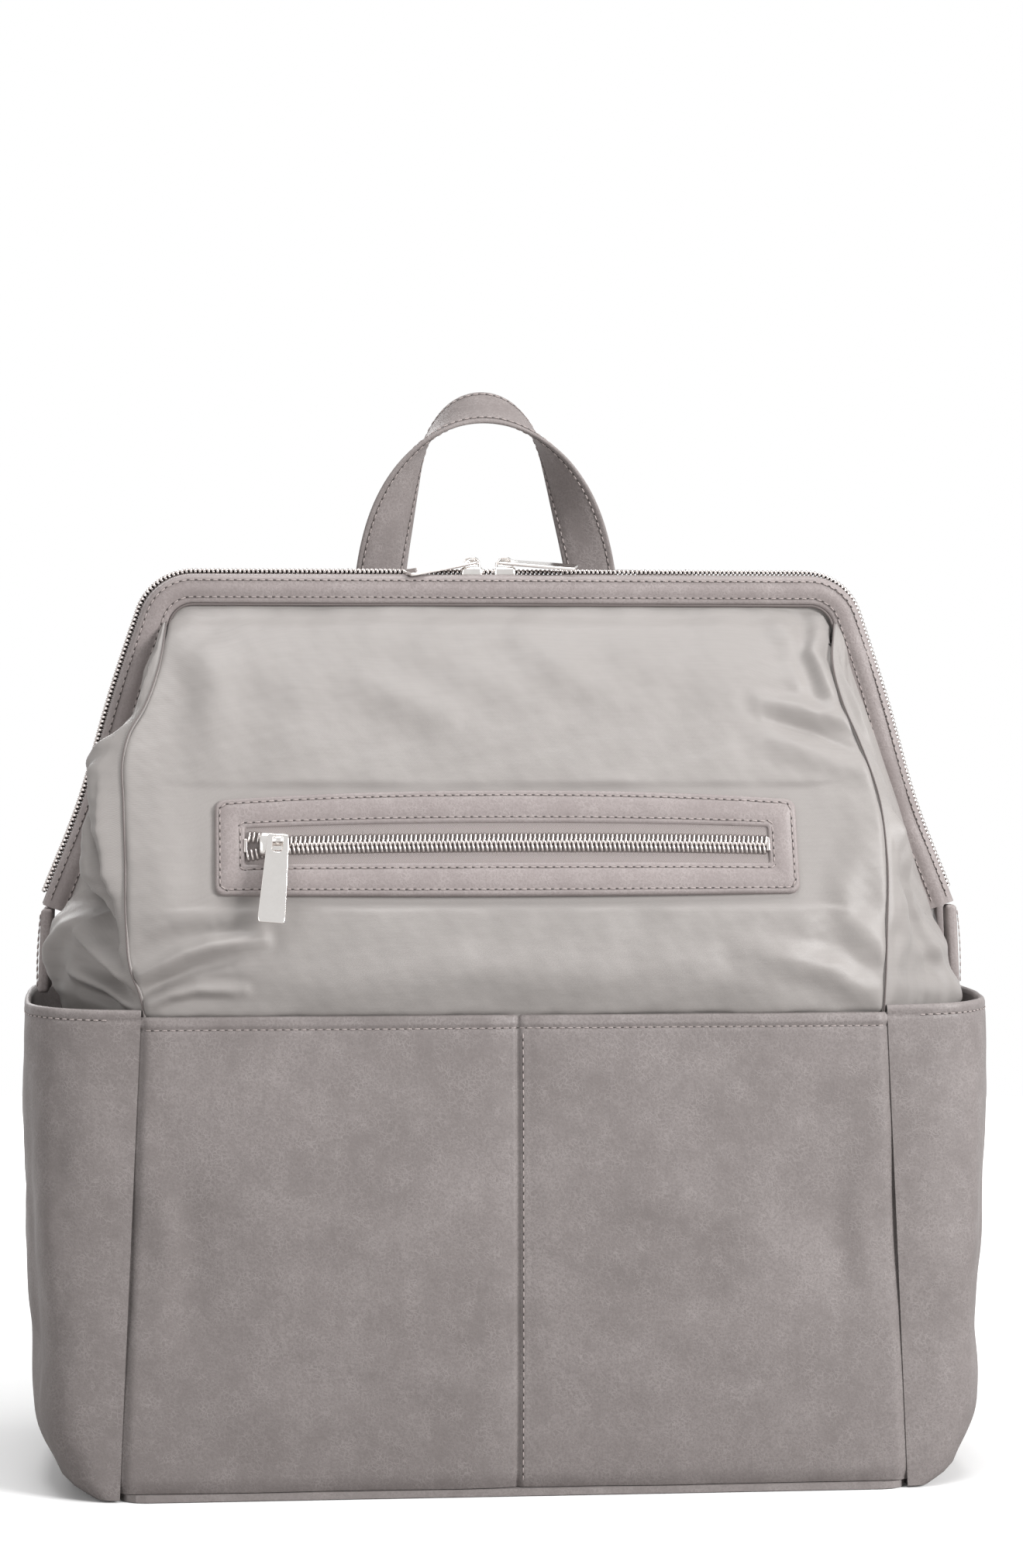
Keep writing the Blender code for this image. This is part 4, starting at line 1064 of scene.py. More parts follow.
SIDE_RUN = 0.073            # about the length of a gusset from its seam to the mouth
GUSSET_PUFFS = {
    # share from the seam, its width, then how far out at each height
    ("front", "left"): (
        (0.62, 0.30, ((0.190, 0.0), (0.204, 0.0085), (0.228, 0.0110), (0.245, 0.0100), (0.254, 0.0050),
                      (0.262, -0.0035), (0.275, 0.0), (0.38, 0.0))),
        (0.23, 0.19, ((0.248, 0.0), (0.256, 0.0010), (0.262, 0.0080), (0.268, 0.0130), (0.284, 0.0125),
                      (0.300, 0.0120), (0.313, 0.0115), (0.322, 0.0070), (0.334, 0.0010), (0.38, 0.0))),
        (0.55, 0.30, ((0.322, 0.0), (0.345, -0.0060), (0.365, -0.0040), (0.3803, 0.0))),
    ),
    ("front", "right"): (
        (0.62, 0.34, ((0.190, 0.0), (0.2100, 0.0180), (0.230, 0.0090), (0.248, -0.0005), (0.270, -0.0035),
                      (0.293, -0.0050), (0.320, -0.0080), (0.345, -0.0060), (0.3803, 0.0))),
        (0.14, 0.14, ((0.240, 0.0), (0.262, 0.0020), (0.285, 0.0030), (0.305, 0.0), (0.3803, 0.0))),
    ),
    ("rear", "left"): (
        (0.50, 0.34, ((0.190, 0.0), (0.2115, 0.0160), (0.230, 0.0120), (0.250, 0.0020), (0.285, 0.0065),
                      (0.310, 0.0040), (0.340, -0.0040), (0.3803, 0.0))),
    ),
    ("rear", "right"): (
        (0.50, 0.34, ((0.190, 0.0), (0.2115, 0.0170), (0.230, 0.0130), (0.255, 0.0040), (0.280, 0.0070),
                      (0.305, 0.0020), (0.340, -0.0050), (0.3803, 0.0))),
    ),
}
GUSSET_FOLDS = {
    # path in (distance from the seam, z), width, height, valley
    ("front", "left"): (
        (((0.023, 0.3060), (0.013, 0.2800), (0.0085, 0.2440)), 0.0030, -0.0075, -0.20),
        (((0.056, 0.2610), (0.042, 0.2590), (0.024, 0.2540), (0.010, 0.2400)), 0.0050, -0.0125, 0.0),
        (((0.002, 0.2100), (0.014, 0.2190), (0.034, 0.2250)), 0.0032, 0.0050, 0.7),
        (((0.003, 0.2210), (0.012, 0.2310), (0.028, 0.2420)), 0.0028, 0.0042, 0.7),
        (((0.034, 0.2480), (0.046, 0.2360), (0.052, 0.2180)), 0.0040, 0.0030, 0.6),
        (((0.004, 0.2480), (0.0042, 0.2800), (0.0055, 0.3060)), 0.0026, 0.0030, 0.0),
        (((0.008, 0.3300), (0.020, 0.3210), (0.030, 0.3100)), 0.0036, 0.0030, 0.6),
    ),
    ("front", "right"): (
        (((0.004, 0.2960), (0.020, 0.2640), (0.034, 0.2330), (0.042, 0.2100)), 0.0036, 0.0030, 0.5),
        (((0.016, 0.2900), (0.036, 0.2640), (0.056, 0.2500)), 0.0050, -0.0030, 0.3),
        (((0.002, 0.2200), (0.012, 0.2400), (0.016, 0.2640)), 0.0050, 0.0014, 0.4),
        (((0.006, 0.3640), (0.012, 0.3450), (0.016, 0.3200)), 0.0030, 0.0026, 0.6),
    ),
    ("rear", "left"): (
        (((0.004, 0.3100), (0.022, 0.2700), (0.030, 0.2300)), 0.0050, 0.0030, 0.5),
        (((0.070, 0.2600), (0.045, 0.2560), (0.020, 0.2440)), 0.0055, -0.0055, 0.2),
    ),
    ("rear", "right"): (
        (((0.004, 0.3000), (0.020, 0.2680), (0.034, 0.2280)), 0.0050, 0.0030, 0.5),
        (((0.070, 0.2660), (0.045, 0.2580), (0.022, 0.2500)), 0.0055, -0.0055, 0.2),
    ),
}


def gusset_grid(which, side, heights, columns=110):
    """The half of a side that runs from its front or rear seam to the hoop's leg."""
    sign = HOOPS[which][0]
    x_sign = SIDES[side]
    s, z = np.meshgrid(np.linspace(0, 1, columns), heights)
    seam_x, seam_depth = seam_point(which, side, z)
    end_x, end_depth = mid_side_x(z), mid_side_depth(z)
    along = np.stack((end_x - seam_x, end_depth - seam_depth), axis=2)
    length = np.linalg.norm(along, axis=2) + 1e-9
    out = np.stack((-along[..., 1], along[..., 0]), axis=2) / length[..., None]
    bulge = 0.0010 * waves(s * SIDE_RUN, z, 21 + len(side), 0.030)
    for middle, width, far in GUSSET_PUFFS[which, side]:
        bulge += eased(far, z) * hump(s, middle, width)
    for path, width, height, valley in GUSSET_FOLDS[which, side]:
        bulge += fold(s * SIDE_RUN, z, path, width, height, valley)
    roundness = 0.0035 * np.sin(np.pi * s) ** 0.6
    ends = smooth(s / 0.10) ** 0.6 * smooth((1 - s) / 0.22)
    bulge = (bulge + roundness) * smooth(length / 0.02) * ends
    bulge *= smooth((z - 0.15) / 0.04) * 0.85 + 0.15
    bulge -= 0.0016 * np.exp(-((s * SIDE_RUN / 0.0016) ** 2)) * smooth((z - 0.19) / 0.01)
    x = seam_x + along[..., 0] * s + out[..., 0] * bulge
    depth = seam_depth + along[..., 1] * s + out[..., 1] * bulge
    return np.stack((x_sign * x, sign * depth, z), axis=2)


def seam_shade_cord(name, path, out):
    """A thin dark cord lying in the crease of a sewn seam between two cloths: painted shade of the crease."""
    ahead = np.gradient(path, axis=0)
    ahead /= np.linalg.norm(ahead, axis=1, keepdims=True)
    sides, ups = frames_along(ahead, np.broadcast_to(np.array(out, float), path.shape))
    ring = [(0.00034 * math.cos(a), 0.00034 * math.sin(a)) for a in np.linspace(0, 2 * math.pi, 9)[:-1]]
    return piece(name, sweep(name, path + ups * 0.0004, sides, ups, ring), "band_edge_shadow")


def make_upper_body():
    panel = panel_grid("front", 0.198, 260, 190)
    mesh = grid_mesh("front_nylon", panel, way=(0, -1, 0.3))
    nodes = ["front_upper_panel", "front_fabric_sill"]
    front = thicken(piece("front_nylon", mesh, "nylon", None, nodes, second="lining"), 0.0012)
    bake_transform(front)

    heights = np.linspace(GUSSET_LOW_Z, CORNER_TIP[1], 130)
    for side, x_sign in SIDES.items():
        for which, (sign, _) in HOOPS.items():
            mesh = grid_mesh(f"{which}_gusset", gusset_grid(which, side, heights), way=(x_sign, 0, 0))
            nodes = [f"{which}_gusset_{side}"]
            made = piece(f"{which}_gusset_cloth_{side}", mesh, "nylon", None, nodes, second="lining")
            thicken(made, 0.0010)
            seam = gusset_grid(which, side, heights, 40)[:, 0]
            bead = seam_shade_cord(f"{which}_seam_{side}", seam, (x_sign, sign, 0.0))
            for soft in (made, bead):
                if which == "front":
                    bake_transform(soft)
                else:
                    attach(soft, "root")
        make_side_wall(side, x_sign)


def make_side_wall(side, x_sign):
    """The side below the hoops, down inside the pocket."""
    heights = np.linspace(FLOOR_Z, GUSSET_LOW_Z + 0.0006, 60)
    halves = [gusset_grid(which, side, heights, 48) for which in ("front", "rear")]
    points = np.concatenate((halves[0], halves[1][:, ::-1][:, 1:]), axis=1)
    mesh = grid_mesh("side_wall", points, way=(x_sign, 0, 0))
    made = piece(f"side_wall_{side}", mesh, "nylon", None, [f"side_panel_{side}"], second="lining")
    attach(thicken(made, 0.0010), "root")
    z, y = np.meshgrid(np.linspace(GUSSET_LOW_Z - 0.004, 0.2560, 26), np.linspace(-0.030, 0.030, 24), indexing="ij")
    x = x_sign * (mid_side_x(z) - 0.0022 - 0.006 * (np.abs(y) / 0.03) ** 2)
    under = grid_mesh("zip_end_cloth", np.stack((x, y, z), axis=2), way=(x_sign, 0, 0))
    piece(f"zip_end_cloth_{side}", under, "nylon", "root")


def make_rear_panel():
    points = panel_grid("rear", 0.2555, 200, 130)
    mesh = grid_mesh("rear_upper_cloth", points, way=(0, 1, 0.3))
    made = piece("rear_upper_cloth", mesh, "nylon", None, ["rear_upper_panel"], second="lining")
    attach(thicken(made, 0.0022), "root")


# ------------------------------------------------------------------ mouth hoops
def make_hoop(which):
    sign, body = HOOPS[which]
    rows = np.stack([hoop_points(inset, depth, sign) for inset, depth in BAND_SECTION], axis=1)
    wear = 0.00025 * waves(rows[..., 0], rows[..., 2], 31, 0.035)[..., None]
    rows = rows + wear * (0, sign, 0)
    mesh = grid_mesh(f"{which}_band", rows, ring=True, caps=True)
    piece(f"{which}_band", mesh, "band", body, [f"{which}_frame_band"])
    out = (0.0, sign, 0.0)
    for label, inset, depth in (("low", 0.0099, 0.01455), ("high", 0.0023, 0.01465)):
        path = hoop_points(inset, depth + 0.0002, sign)[1:-1]
        stitches(f"{which}_band_stitches_{label}", path, out, body)

    # a dark cord along the band's lower edge: painted shadow of the band's edge over the nylon seam
    bead = [(0.0132 + 0.0006 * math.cos(a), 0.0138 + 0.0006 * math.sin(a)) for a in np.linspace(0, 2 * math.pi, 9)[:-1]]
    rows = np.stack([hoop_points(inset, depth, sign) for inset, depth in bead], axis=1)
    piece(f"{which}_piping", grid_mesh(f"{which}_piping", rows, ring=True, caps=True), "band_edge_shadow", body)

    tape = ((0.0009, 0.0084), (-0.0002, 0.0062), (-0.0010, 0.0030), (0.0002, 0.0028), (0.0022, 0.0082))
    rows = np.stack([hoop_points(inset, depth, sign) for inset, depth in tape], axis=1)
    mesh = grid_mesh(f"{which}_mouth_tape", rows, ring=True, caps=True)
    piece(f"{which}_mouth_tape", mesh, "tape", body, [f"{which}_zip_tape"])

    path = hoop_points(-0.0022, 0.0, sign)[2:-2]
    shift = np.array((0.0, sign, 0.0))
    ahead = np.gradient(path, axis=0)
    ups = np.cross(ahead, (0, 1, 0))
    ups /= np.linalg.norm(ups, axis=1, keepdims=True)
    if ups[len(ups) // 2][2] < 0:
        ups = -ups
    side = np.cross(ups[0], ahead[0])[1]
    way = 1.0 if side * sign > 0 else -1.0
    phase = 0.25 * sign
    coil(f"{which}_mouth_coil", path + shift * 0.0002, ups, body, 0.0, 0.0030, way, phase,
         [f"{which}_zip_teeth"], 0.0006, 1.35)

    for name, x_sign in SIDES.items():
        centre = Vector((x_sign * SLEEVE_X, sign * SLEEVE_Y, SLEEVE_TOP_Z - SLEEVE_SIZE[2] / 2))
        mesh = rounded_box(SLEEVE_SIZE, centre, 0.0018)
        for vertex in mesh.vertices:
            drop = (SLEEVE_TOP_Z - vertex.co.z) / SLEEVE_SIZE[2]
            vertex.co.x += x_sign * (0.0006 * math.sin(math.pi * drop) - 0.0016 * (1 - drop))
            vertex.co.y = centre.y + (vertex.co.y - centre.y) * (0.94 + 0.10 * drop)
        piece(f"{which}_sleeve_{name}", mesh, "band", body, [f"{which}_zip_sleeve_{name}"])
        edge_x = x_sign * (SLEEVE_X + SLEEVE_SIZE[0] / 2 + 0.0003)
        zs = np.linspace(SLEEVE_TOP_Z - 0.002, SLEEVE_TOP_Z - SLEEVE_SIZE[2] + 0.002, 20)
        for row, off in enumerate((-0.0034, 0.0034)):
            belly = 0.0006 * np.sin(np.linspace(0, np.pi, 20)) - np.linspace(0.0016, 0.0, 20)
            line = np.stack((np.full(20, edge_x) + x_sign * belly,
                             np.full(20, centre.y + off), zs), axis=1)
            stitches(f"{which}_sleeve_stitches_{name}_{row}", line, (x_sign, 0, 0), body)


# ------------------------------------------------------------------ front zip pocket
def pocket_matrix():
    """X across, Y up along the panel, Z out of the panel, from the pocket's middle."""
    up = (PANEL_HIGH - PANEL_LOW).normalized()
    across = Vector((1.0, 0.0, 0.0))
    out = across.cross(up)
    rotation = Matrix((across, up, out)).transposed().to_4x4()
    centre = PANEL_LOW + up * (POCKET_SIZE[1] / 2 + POCKET_RISE)
    centre.x = POCKET_X
    return Matrix.Translation(centre) @ rotation


def on_pocket(a, b, lift):
    """World points of the pocket: a across, b up, lift out. The cloth bows up and falls back at its ends."""
    a, b, lift = np.broadcast_arrays(np.array(a, float), np.array(b, float), np.array(lift, float))
    bow = (1 - (a / 0.127) ** 2) * (0.0014 + 0.0026 * (b / 0.0215) * (np.abs(b) > 0.0070)) - 0.0002
    fall = 0.0016 * (np.abs(a) / 0.127) ** 4
    local = np.stack((a, b + bow, lift - fall, np.ones_like(a)), axis=-1)
    return (local @ np.array(pocket_matrix()).T)[..., :3]


def pocket_out():
    return np.array(pocket_matrix().to_3x3().col[2])


def make_front_pocket():
    outer = rounded_rectangle(*POCKET_SIZE, 0.0040, 8, 60)
    inner = rounded_rectangle(*POCKET_SLOT, 0.0012, 8, 60)
    profile = ((0.0, -0.0010), (0.0, 0.0009), (0.035, 0.0016), (0.10, 0.0019), (0.165, 0.0016), (0.23, 0.0020),
               (0.40, 0.0023), (0.60, 0.0023), (0.77, 0.0020), (0.835, 0.0016), (0.90, 0.0019), (0.965, 0.0016),
               (1.0, 0.0008), (1.0, -0.0008))
    rows = []
    for share, lift in profile:
        ring = outer + (inner - outer) * share
        uneven = 0.00012 * waves(ring[:, 0], ring[:, 1], 41, 0.02) if lift > 0.0012 else 0.0
        rows.append(on_pocket(ring[:, 0], ring[:, 1], lift + uneven))
    mesh = grid_mesh("pocket_surround_leather", np.array(rows), ring=True, way=pocket_out())
    piece("pocket_surround_leather", mesh, "band", "front_frame", ["pocket_surround"])
    for label, share in (("outer", 0.165), ("inner", 0.835)):
        ring = outer + (inner - outer) * share
        path = on_pocket(ring[:, 0], ring[:, 1], 0.00185)
        stitches(f"pocket_stitches_{label}", path, pocket_out(), "front_frame", closed=True)

    a, b = np.meshgrid(np.linspace(-0.1142, 0.1142, 80), np.linspace(-0.0082, 0.0082, 14))
    sunk = 0.0004 + 0.0004 * np.abs(b) / 0.0082
    points = on_pocket(a, b, sunk)
    mesh = grid_mesh("pocket_tape", np.swapaxes(points, 0, 1), way=pocket_out())
    piece("pocket_tape", mesh, "tape", "front_frame", ["pocket_zip_tape"])

    xs = np.linspace(-0.1135, 0.1135, 300)
    path = on_pocket(xs, 0.0, 0.0014)
    slider = POCKET_SLIDER_X - POCKET_X

    def opened(centres):
        beyond = np.clip((slider - 0.001) - (centres[:, 0] - POCKET_X), 0, 0.02)
        return 0.0024 * smooth(beyond / 0.010)

    coil("pocket_coil_upper", path, pocket_out(), "front_frame", opened, 0.0042, 1.0, 0.25,
         ["pocket_zip_teeth"], 0.0010, 1.1)
    coil("pocket_coil_lower", path, pocket_out(), "front_frame", opened, 0.0042, -1.0, -0.25, (), 0.0010, 1.1)
    for x in (-0.1138, 0.1138):
        stop = on_pocket(x, 0.0, 0.0016)
        mesh = rounded_box((0.0016, 0.0062, 0.0018), (0, 0, 0), 0.0004)
        mesh.transform(Matrix.Translation(Vector(stop)) @ pocket_matrix().to_3x3().to_4x4())
        end = "left" if x < 0 else "right"
        piece(f"pocket_stop_{end}", mesh, "teeth", "front_frame")


# ------------------------------------------------------------------ sliders and pullers
def slider_mesh(name, length, width, ahead_of_bridge=0.0):
    """A slider along local X, with its bridge over it. Z points out of the zip."""
    half = width / 2
    section = (
        (-0.97, -0.0010), (-1.00, 0.0000), (-1.00, 0.0022), (-0.90, 0.0031), (-0.60, 0.0035), (0.0, 0.0037),
        (0.60, 0.0035), (0.90, 0.0031), (1.00, 0.0022), (1.00, 0.0000), (0.97, -0.0010), (0.84, -0.0010),
        (0.84, 0.0018), (0.50, 0.0023), (0.0, 0.0024), (-0.50, 0.0023), (-0.84, 0.0018), (-0.84, -0.0010),
    )
    shares = np.concatenate(((-1.0, -0.985, -0.95, -0.88), np.linspace(-0.78, 0.78, 12), (0.88, 0.95, 0.985, 1.0)))
    rows = []
    for t in shares:
        ends = (1 - abs(t) ** 9) ** 0.5 * 0.30 + 0.70 if abs(t) < 1 else 0.70
        waist = 1.0 - 0.10 * smooth(np.array(0.5 - t / 2)) - 0.06 * math.cos(t * math.pi / 2) ** 2
        sink = 0.0007 * abs(t) ** 10
        x = t * length / 2 + ahead_of_bridge
        rows.append([(x, y * half * waist * ends, z - sink * (z > 0.002)) for y, z in section])
    body = grid_mesh(f"{name}_body", np.array(rows), ring=True, caps=True)
    turns = np.linspace(0, math.pi, 25)
    spine = np.stack((-0.0036 * np.cos(turns), np.zeros(25), 0.0030 + 0.0048 * np.sin(turns) ** 0.62), axis=1)
    ahead = np.gradient(spine, axis=0)
    ahead /= np.linalg.norm(ahead, axis=1, keepdims=True)
    sides = np.broadcast_to((0.0, 1.0, 0.0), spine.shape)
    ups = np.cross(ahead, sides)
    oval = [(0.0013 * math.cos(a), 0.00062 * math.sin(a)) for a in np.linspace(0, 2 * math.pi, 13)[:-1]]
    bridge = sweep(f"{name}_bridge", spine, sides, ups, oval)
    return joined(name, [body, bridge])


def puller_mesh(name, size, tip):
    """A flat puller along local -Y from its pivot, with a window that the bridge goes through."""
    length, width, thickness = size
    head = width * 0.80
    start = 0.0024
    window = rounded_rectangle(head * 0.46, 0.0070, 0.0014, 5, 1, (0.0, -0.0021))
    outline = []
    for x, y in rounded_rectangle(1.0, 1.0, 0.08, 5, 1, (0.0, -0.5)):
        down = -y
        half = head + (width - head) * smooth(np.array((down - 0.12) / 0.16)) * 1.0
        half *= 1 - (1 - tip) * smooth(np.array((down - 0.45) / 0.55))
        outline.append((x * float(half), start - down * (length + start)))
    plate = flat_piece(name, [outline, window], thickness, 0.00030, Matrix.Identity(4))
    return plate


def make_metal():
    for side, sign in SIDES.items():
        x = TOP_SLIDERS_X[side]
        base = Matrix.Translation((x, 0.0, HOOP_TOP_Z + 0.0010))
        mesh = slider_mesh(f"slider_{side}", 0.0098, 0.0094)
        mesh.transform(base @ Matrix.Rotation(math.radians(0 if sign > 0 else 180), 4, "Z"))
        piece(f"mouth_slider_{side}", mesh, "nickel", f"top_slider_{side}", [f"top_slider_{side}"])
        mesh = puller_mesh(f"mouth_puller_{side}", TOP_PULLER, 0.92)
        pivot = Matrix.Translation((x, 0.0, HOOP_TOP_Z + BAR_HEIGHT))
        droop, yaw = {"left": (-10, 25), "right": (5, -18)}[side]
        lie = Matrix.Rotation(math.radians(yaw), 4, "Z") @ Matrix.Rotation(math.radians(droop), 4, "Y")
        lie = lie @ Matrix.Rotation(math.radians(14), 4, "X")
        mesh.transform(pivot @ lie @ Matrix.Rotation(math.radians(90 * sign), 4, "Z"))
        piece(f"mouth_puller_{side}", mesh, "nickel", f"top_puller_{side}", [f"top_puller_{side}"])

    plane = pocket_matrix() @ Matrix.Translation((POCKET_SLIDER_X - POCKET_X, 0.0, POCKET_TEETH_LIFT))
    mesh = slider_mesh("pocket_slider", 0.0125, 0.0104, 0.0016)
    mesh.transform(plane @ Matrix.Translation((0, 0, -0.0004)) @ Matrix.Rotation(math.radians(180), 4, "Z"))
    piece("front_slider", mesh, "nickel", "pocket_slider", ["pocket_slider"])
    mesh = puller_mesh("front_puller", POCKET_PULLER, 1.0)
    hang = Matrix.Translation((0.0, 0.0, BAR_HEIGHT)) @ Matrix.Rotation(math.radians(-5), 4, "Z")
    mesh.transform(plane @ hang)
    piece("front_puller", mesh, "nickel", "pocket_puller", ["pocket_puller"])


# ------------------------------------------------------------------ handle
def handle_frame(angle):
    """Middle, across and upward directions of the handle at angle, 0 at its left foot."""
    rise = HANDLE_TOP_Z - HANDLE_FOOT[1]
    lean = HANDLE_LEAN * math.sin(angle)
    centre = np.array((HANDLE_X + lean - HANDLE_HALF_SPAN * math.cos(angle), HANDLE_FOOT[0],
                       HANDLE_FOOT[1] + rise * math.sin(angle)))
    ahead = np.array((HANDLE_LEAN * math.cos(angle) + HANDLE_HALF_SPAN * math.sin(angle), 0.0,
                      rise * math.cos(angle)))
    ahead /= np.linalg.norm(ahead)
    outward = np.array((-ahead[2], 0.0, ahead[0]))
    turn = HANDLE_TURN[0] * (1 - (math.sin(angle) / HANDLE_TURN[1]) ** 2.5)
    across = math.sin(turn) * outward + math.cos(turn) * np.array((0.0, 1.0, 0.0))
    up = np.cross(across, ahead)
    return centre, across, up


def make_handle():
    angles = np.linspace(0.0, math.pi, 150)
    frames = [handle_frame(a) for a in angles]
    centres, sides, ups = (np.array([f[k] for f in frames]) for k in range(3))
    section = strap_section(HANDLE_WIDTH, HANDLE_THICKNESS)
    mesh = sweep("handle_ribbon", centres, sides, ups, section)
    piece("handle_ribbon", mesh, "handle", "handle", ["handle"])
    for label, share in (("near", -1), ("far", 1)):
        offset = sides * share * (HANDLE_WIDTH / 2 - 0.0026)
        for face, way in (("outer", 1), ("inner", -1)):
            path = centres + offset + ups * way * (HANDLE_THICKNESS / 2 - 0.00025)
            stitches(f"handle_stitches_{label}_{face}", path[1:-1], (ups * way)[1:-1], "handle")

    depth_at = CENTRE_DEPTH["rear"]
    for side, sign in SIDES.items():
        zs = np.linspace(0.3460, 0.3712, 22)
        lift = 0.0013 + 0.0016 * smooth((zs - 0.352) / 0.016)
        path = np.stack((np.full(22, HANDLE_X + sign * HANDLE_HALF_SPAN), depth_at(zs) + lift, zs), axis=1)
        path[-4:, 1] += (0.0002, 0.0006, 0.0013, 0.0021)
        ahead = np.gradient(path, axis=0)
        ahead /= np.linalg.norm(ahead, axis=1, keepdims=True)
        across = np.broadcast_to((1.0, 0.0, 0.0), path.shape)
        up = np.cross(across, ahead)
        up *= np.sign((up[:, 1]).sum())
        mesh = sweep("handle_foot", path, across, up, strap_section(HANDLE_WIDTH * 1.02, 0.0026))
        piece(f"handle_foot_leather_{side}", mesh, "leather", "root", [f"handle_foot_{side}"])
        half = HANDLE_WIDTH / 2 - 0.003
        zig = np.array(((-half, 2), (half, 2), (half, 13), (-half, 13), (-half, 2), (half, 13), (-half, 13), (half, 2)))
        dense = np.concatenate([np.linspace(p, q, 14)[:-1] for p, q in zip(zig, zig[1:])])
        index = dense[:, 1]
        low = np.clip(index.astype(int), 0, 20)
        base = path[low] + (path[low + 1] - path[low]) * (index - low)[:, None]
        line = base + across[low] * dense[:, 0:1] + up[low] * 0.0011
        stitches(f"handle_foot_stitches_{side}", line, up[low], "root", pitch=0.0030, length=0.0022)


# ------------------------------------------------------------------ back
def back_point(x, z, clear):
    """The outer face of the back, with its normal in the YZ plane."""
    depth_at = CENTRE_DEPTH["rear"]
    slope = (depth_at(z + 0.002) - depth_at(z - 0.002)) / 0.004 * smooth((z - 0.262) / 0.02)
    normal = np.stack((np.zeros_like(z), np.ones_like(z), -slope), axis=-1)
    normal /= np.linalg.norm(normal, axis=-1, keepdims=True)
    depth = np.where(z > 0.2625, depth_at(z), HALF_DEPTH)
    return np.stack((x, depth, z), axis=-1) + normal * clear, normal


def make_back_pad():
    """The padded back: one stuffed panel with stitched channels."""
    width, low, high = 0.318, 0.0060, 0.2590
    facing = rounded_box((width + 0.003, 0.0026, high - low + 0.001), (0, 0.0800, (low + high) / 2), 0.0012)
    piece("back_facing", facing, "leather", "root")
    mesh = rounded_box((width + 0.001, 0.0085, high - low - 0.001), (0, 0.0795, (low + high) / 2), 0.0040)
    pad = piece("back_padding", mesh, "back", None, ["back_panel"])
    plump(pad, 0.005, 3.0, 0.0040)
    for vertex in pad.data.vertices:
        x, y, z = vertex.co
        if y > 0.080:
            channels = hump(abs(x), 0.042, 0.0042) * 0.0036 + hump(z, 0.135, 0.0042) * 0.0030 * (abs(x) < 0.0385)
            vertex.co.y = y - float(channels)
        vertex.co.y = min(vertex.co.y, 0.0872)
    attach(pad, "root")
    for name, x_sign in SIDES.items():
        zs = np.linspace(0.012, 0.252, 90)
        line = np.stack((np.full(90, x_sign * 0.042), np.full(90, 0.0834), zs), axis=1)
        stitches(f"back_channel_{name}", line, (0, 1, 0), "root")
    edge = rounded_rectangle(width + 0.002, high - low, 0.010, 8, 30)
    centres = np.stack((edge[:, 0], np.full(len(edge), 0.0842), edge[:, 1] + (low + high) / 2), axis=1)
    ahead = np.roll(centres, -1, axis=0) - np.roll(centres, 1, axis=0)
    ahead /= np.linalg.norm(ahead, axis=1, keepdims=True)
    bead = [(0.0014 * math.cos(a), 0.0014 * math.sin(a)) for a in np.linspace(0, 2 * math.pi, 9)[:-1]]
    ups = np.broadcast_to((0.0, 1.0, 0.0), centres.shape)
    rings = centres[:, None] + np.cross(ups, ahead)[:, None] * np.array(bead)[None, :, 0:1] + ups[:, None] * np.array(bead)[None, :, 1:2]
    piece("back_piping", grid_mesh("back_piping", np.concatenate((rings, rings[:1])), ring=True), "leather", "root")


def strap_outline(z):
    widths = through([(height, width) for height, width in STRAP_PATH[::-1]])
    middle = STRAP_X + STRAP_DRIFT * smooth((0.364 - z) / 0.224)
    return middle, widths(z)


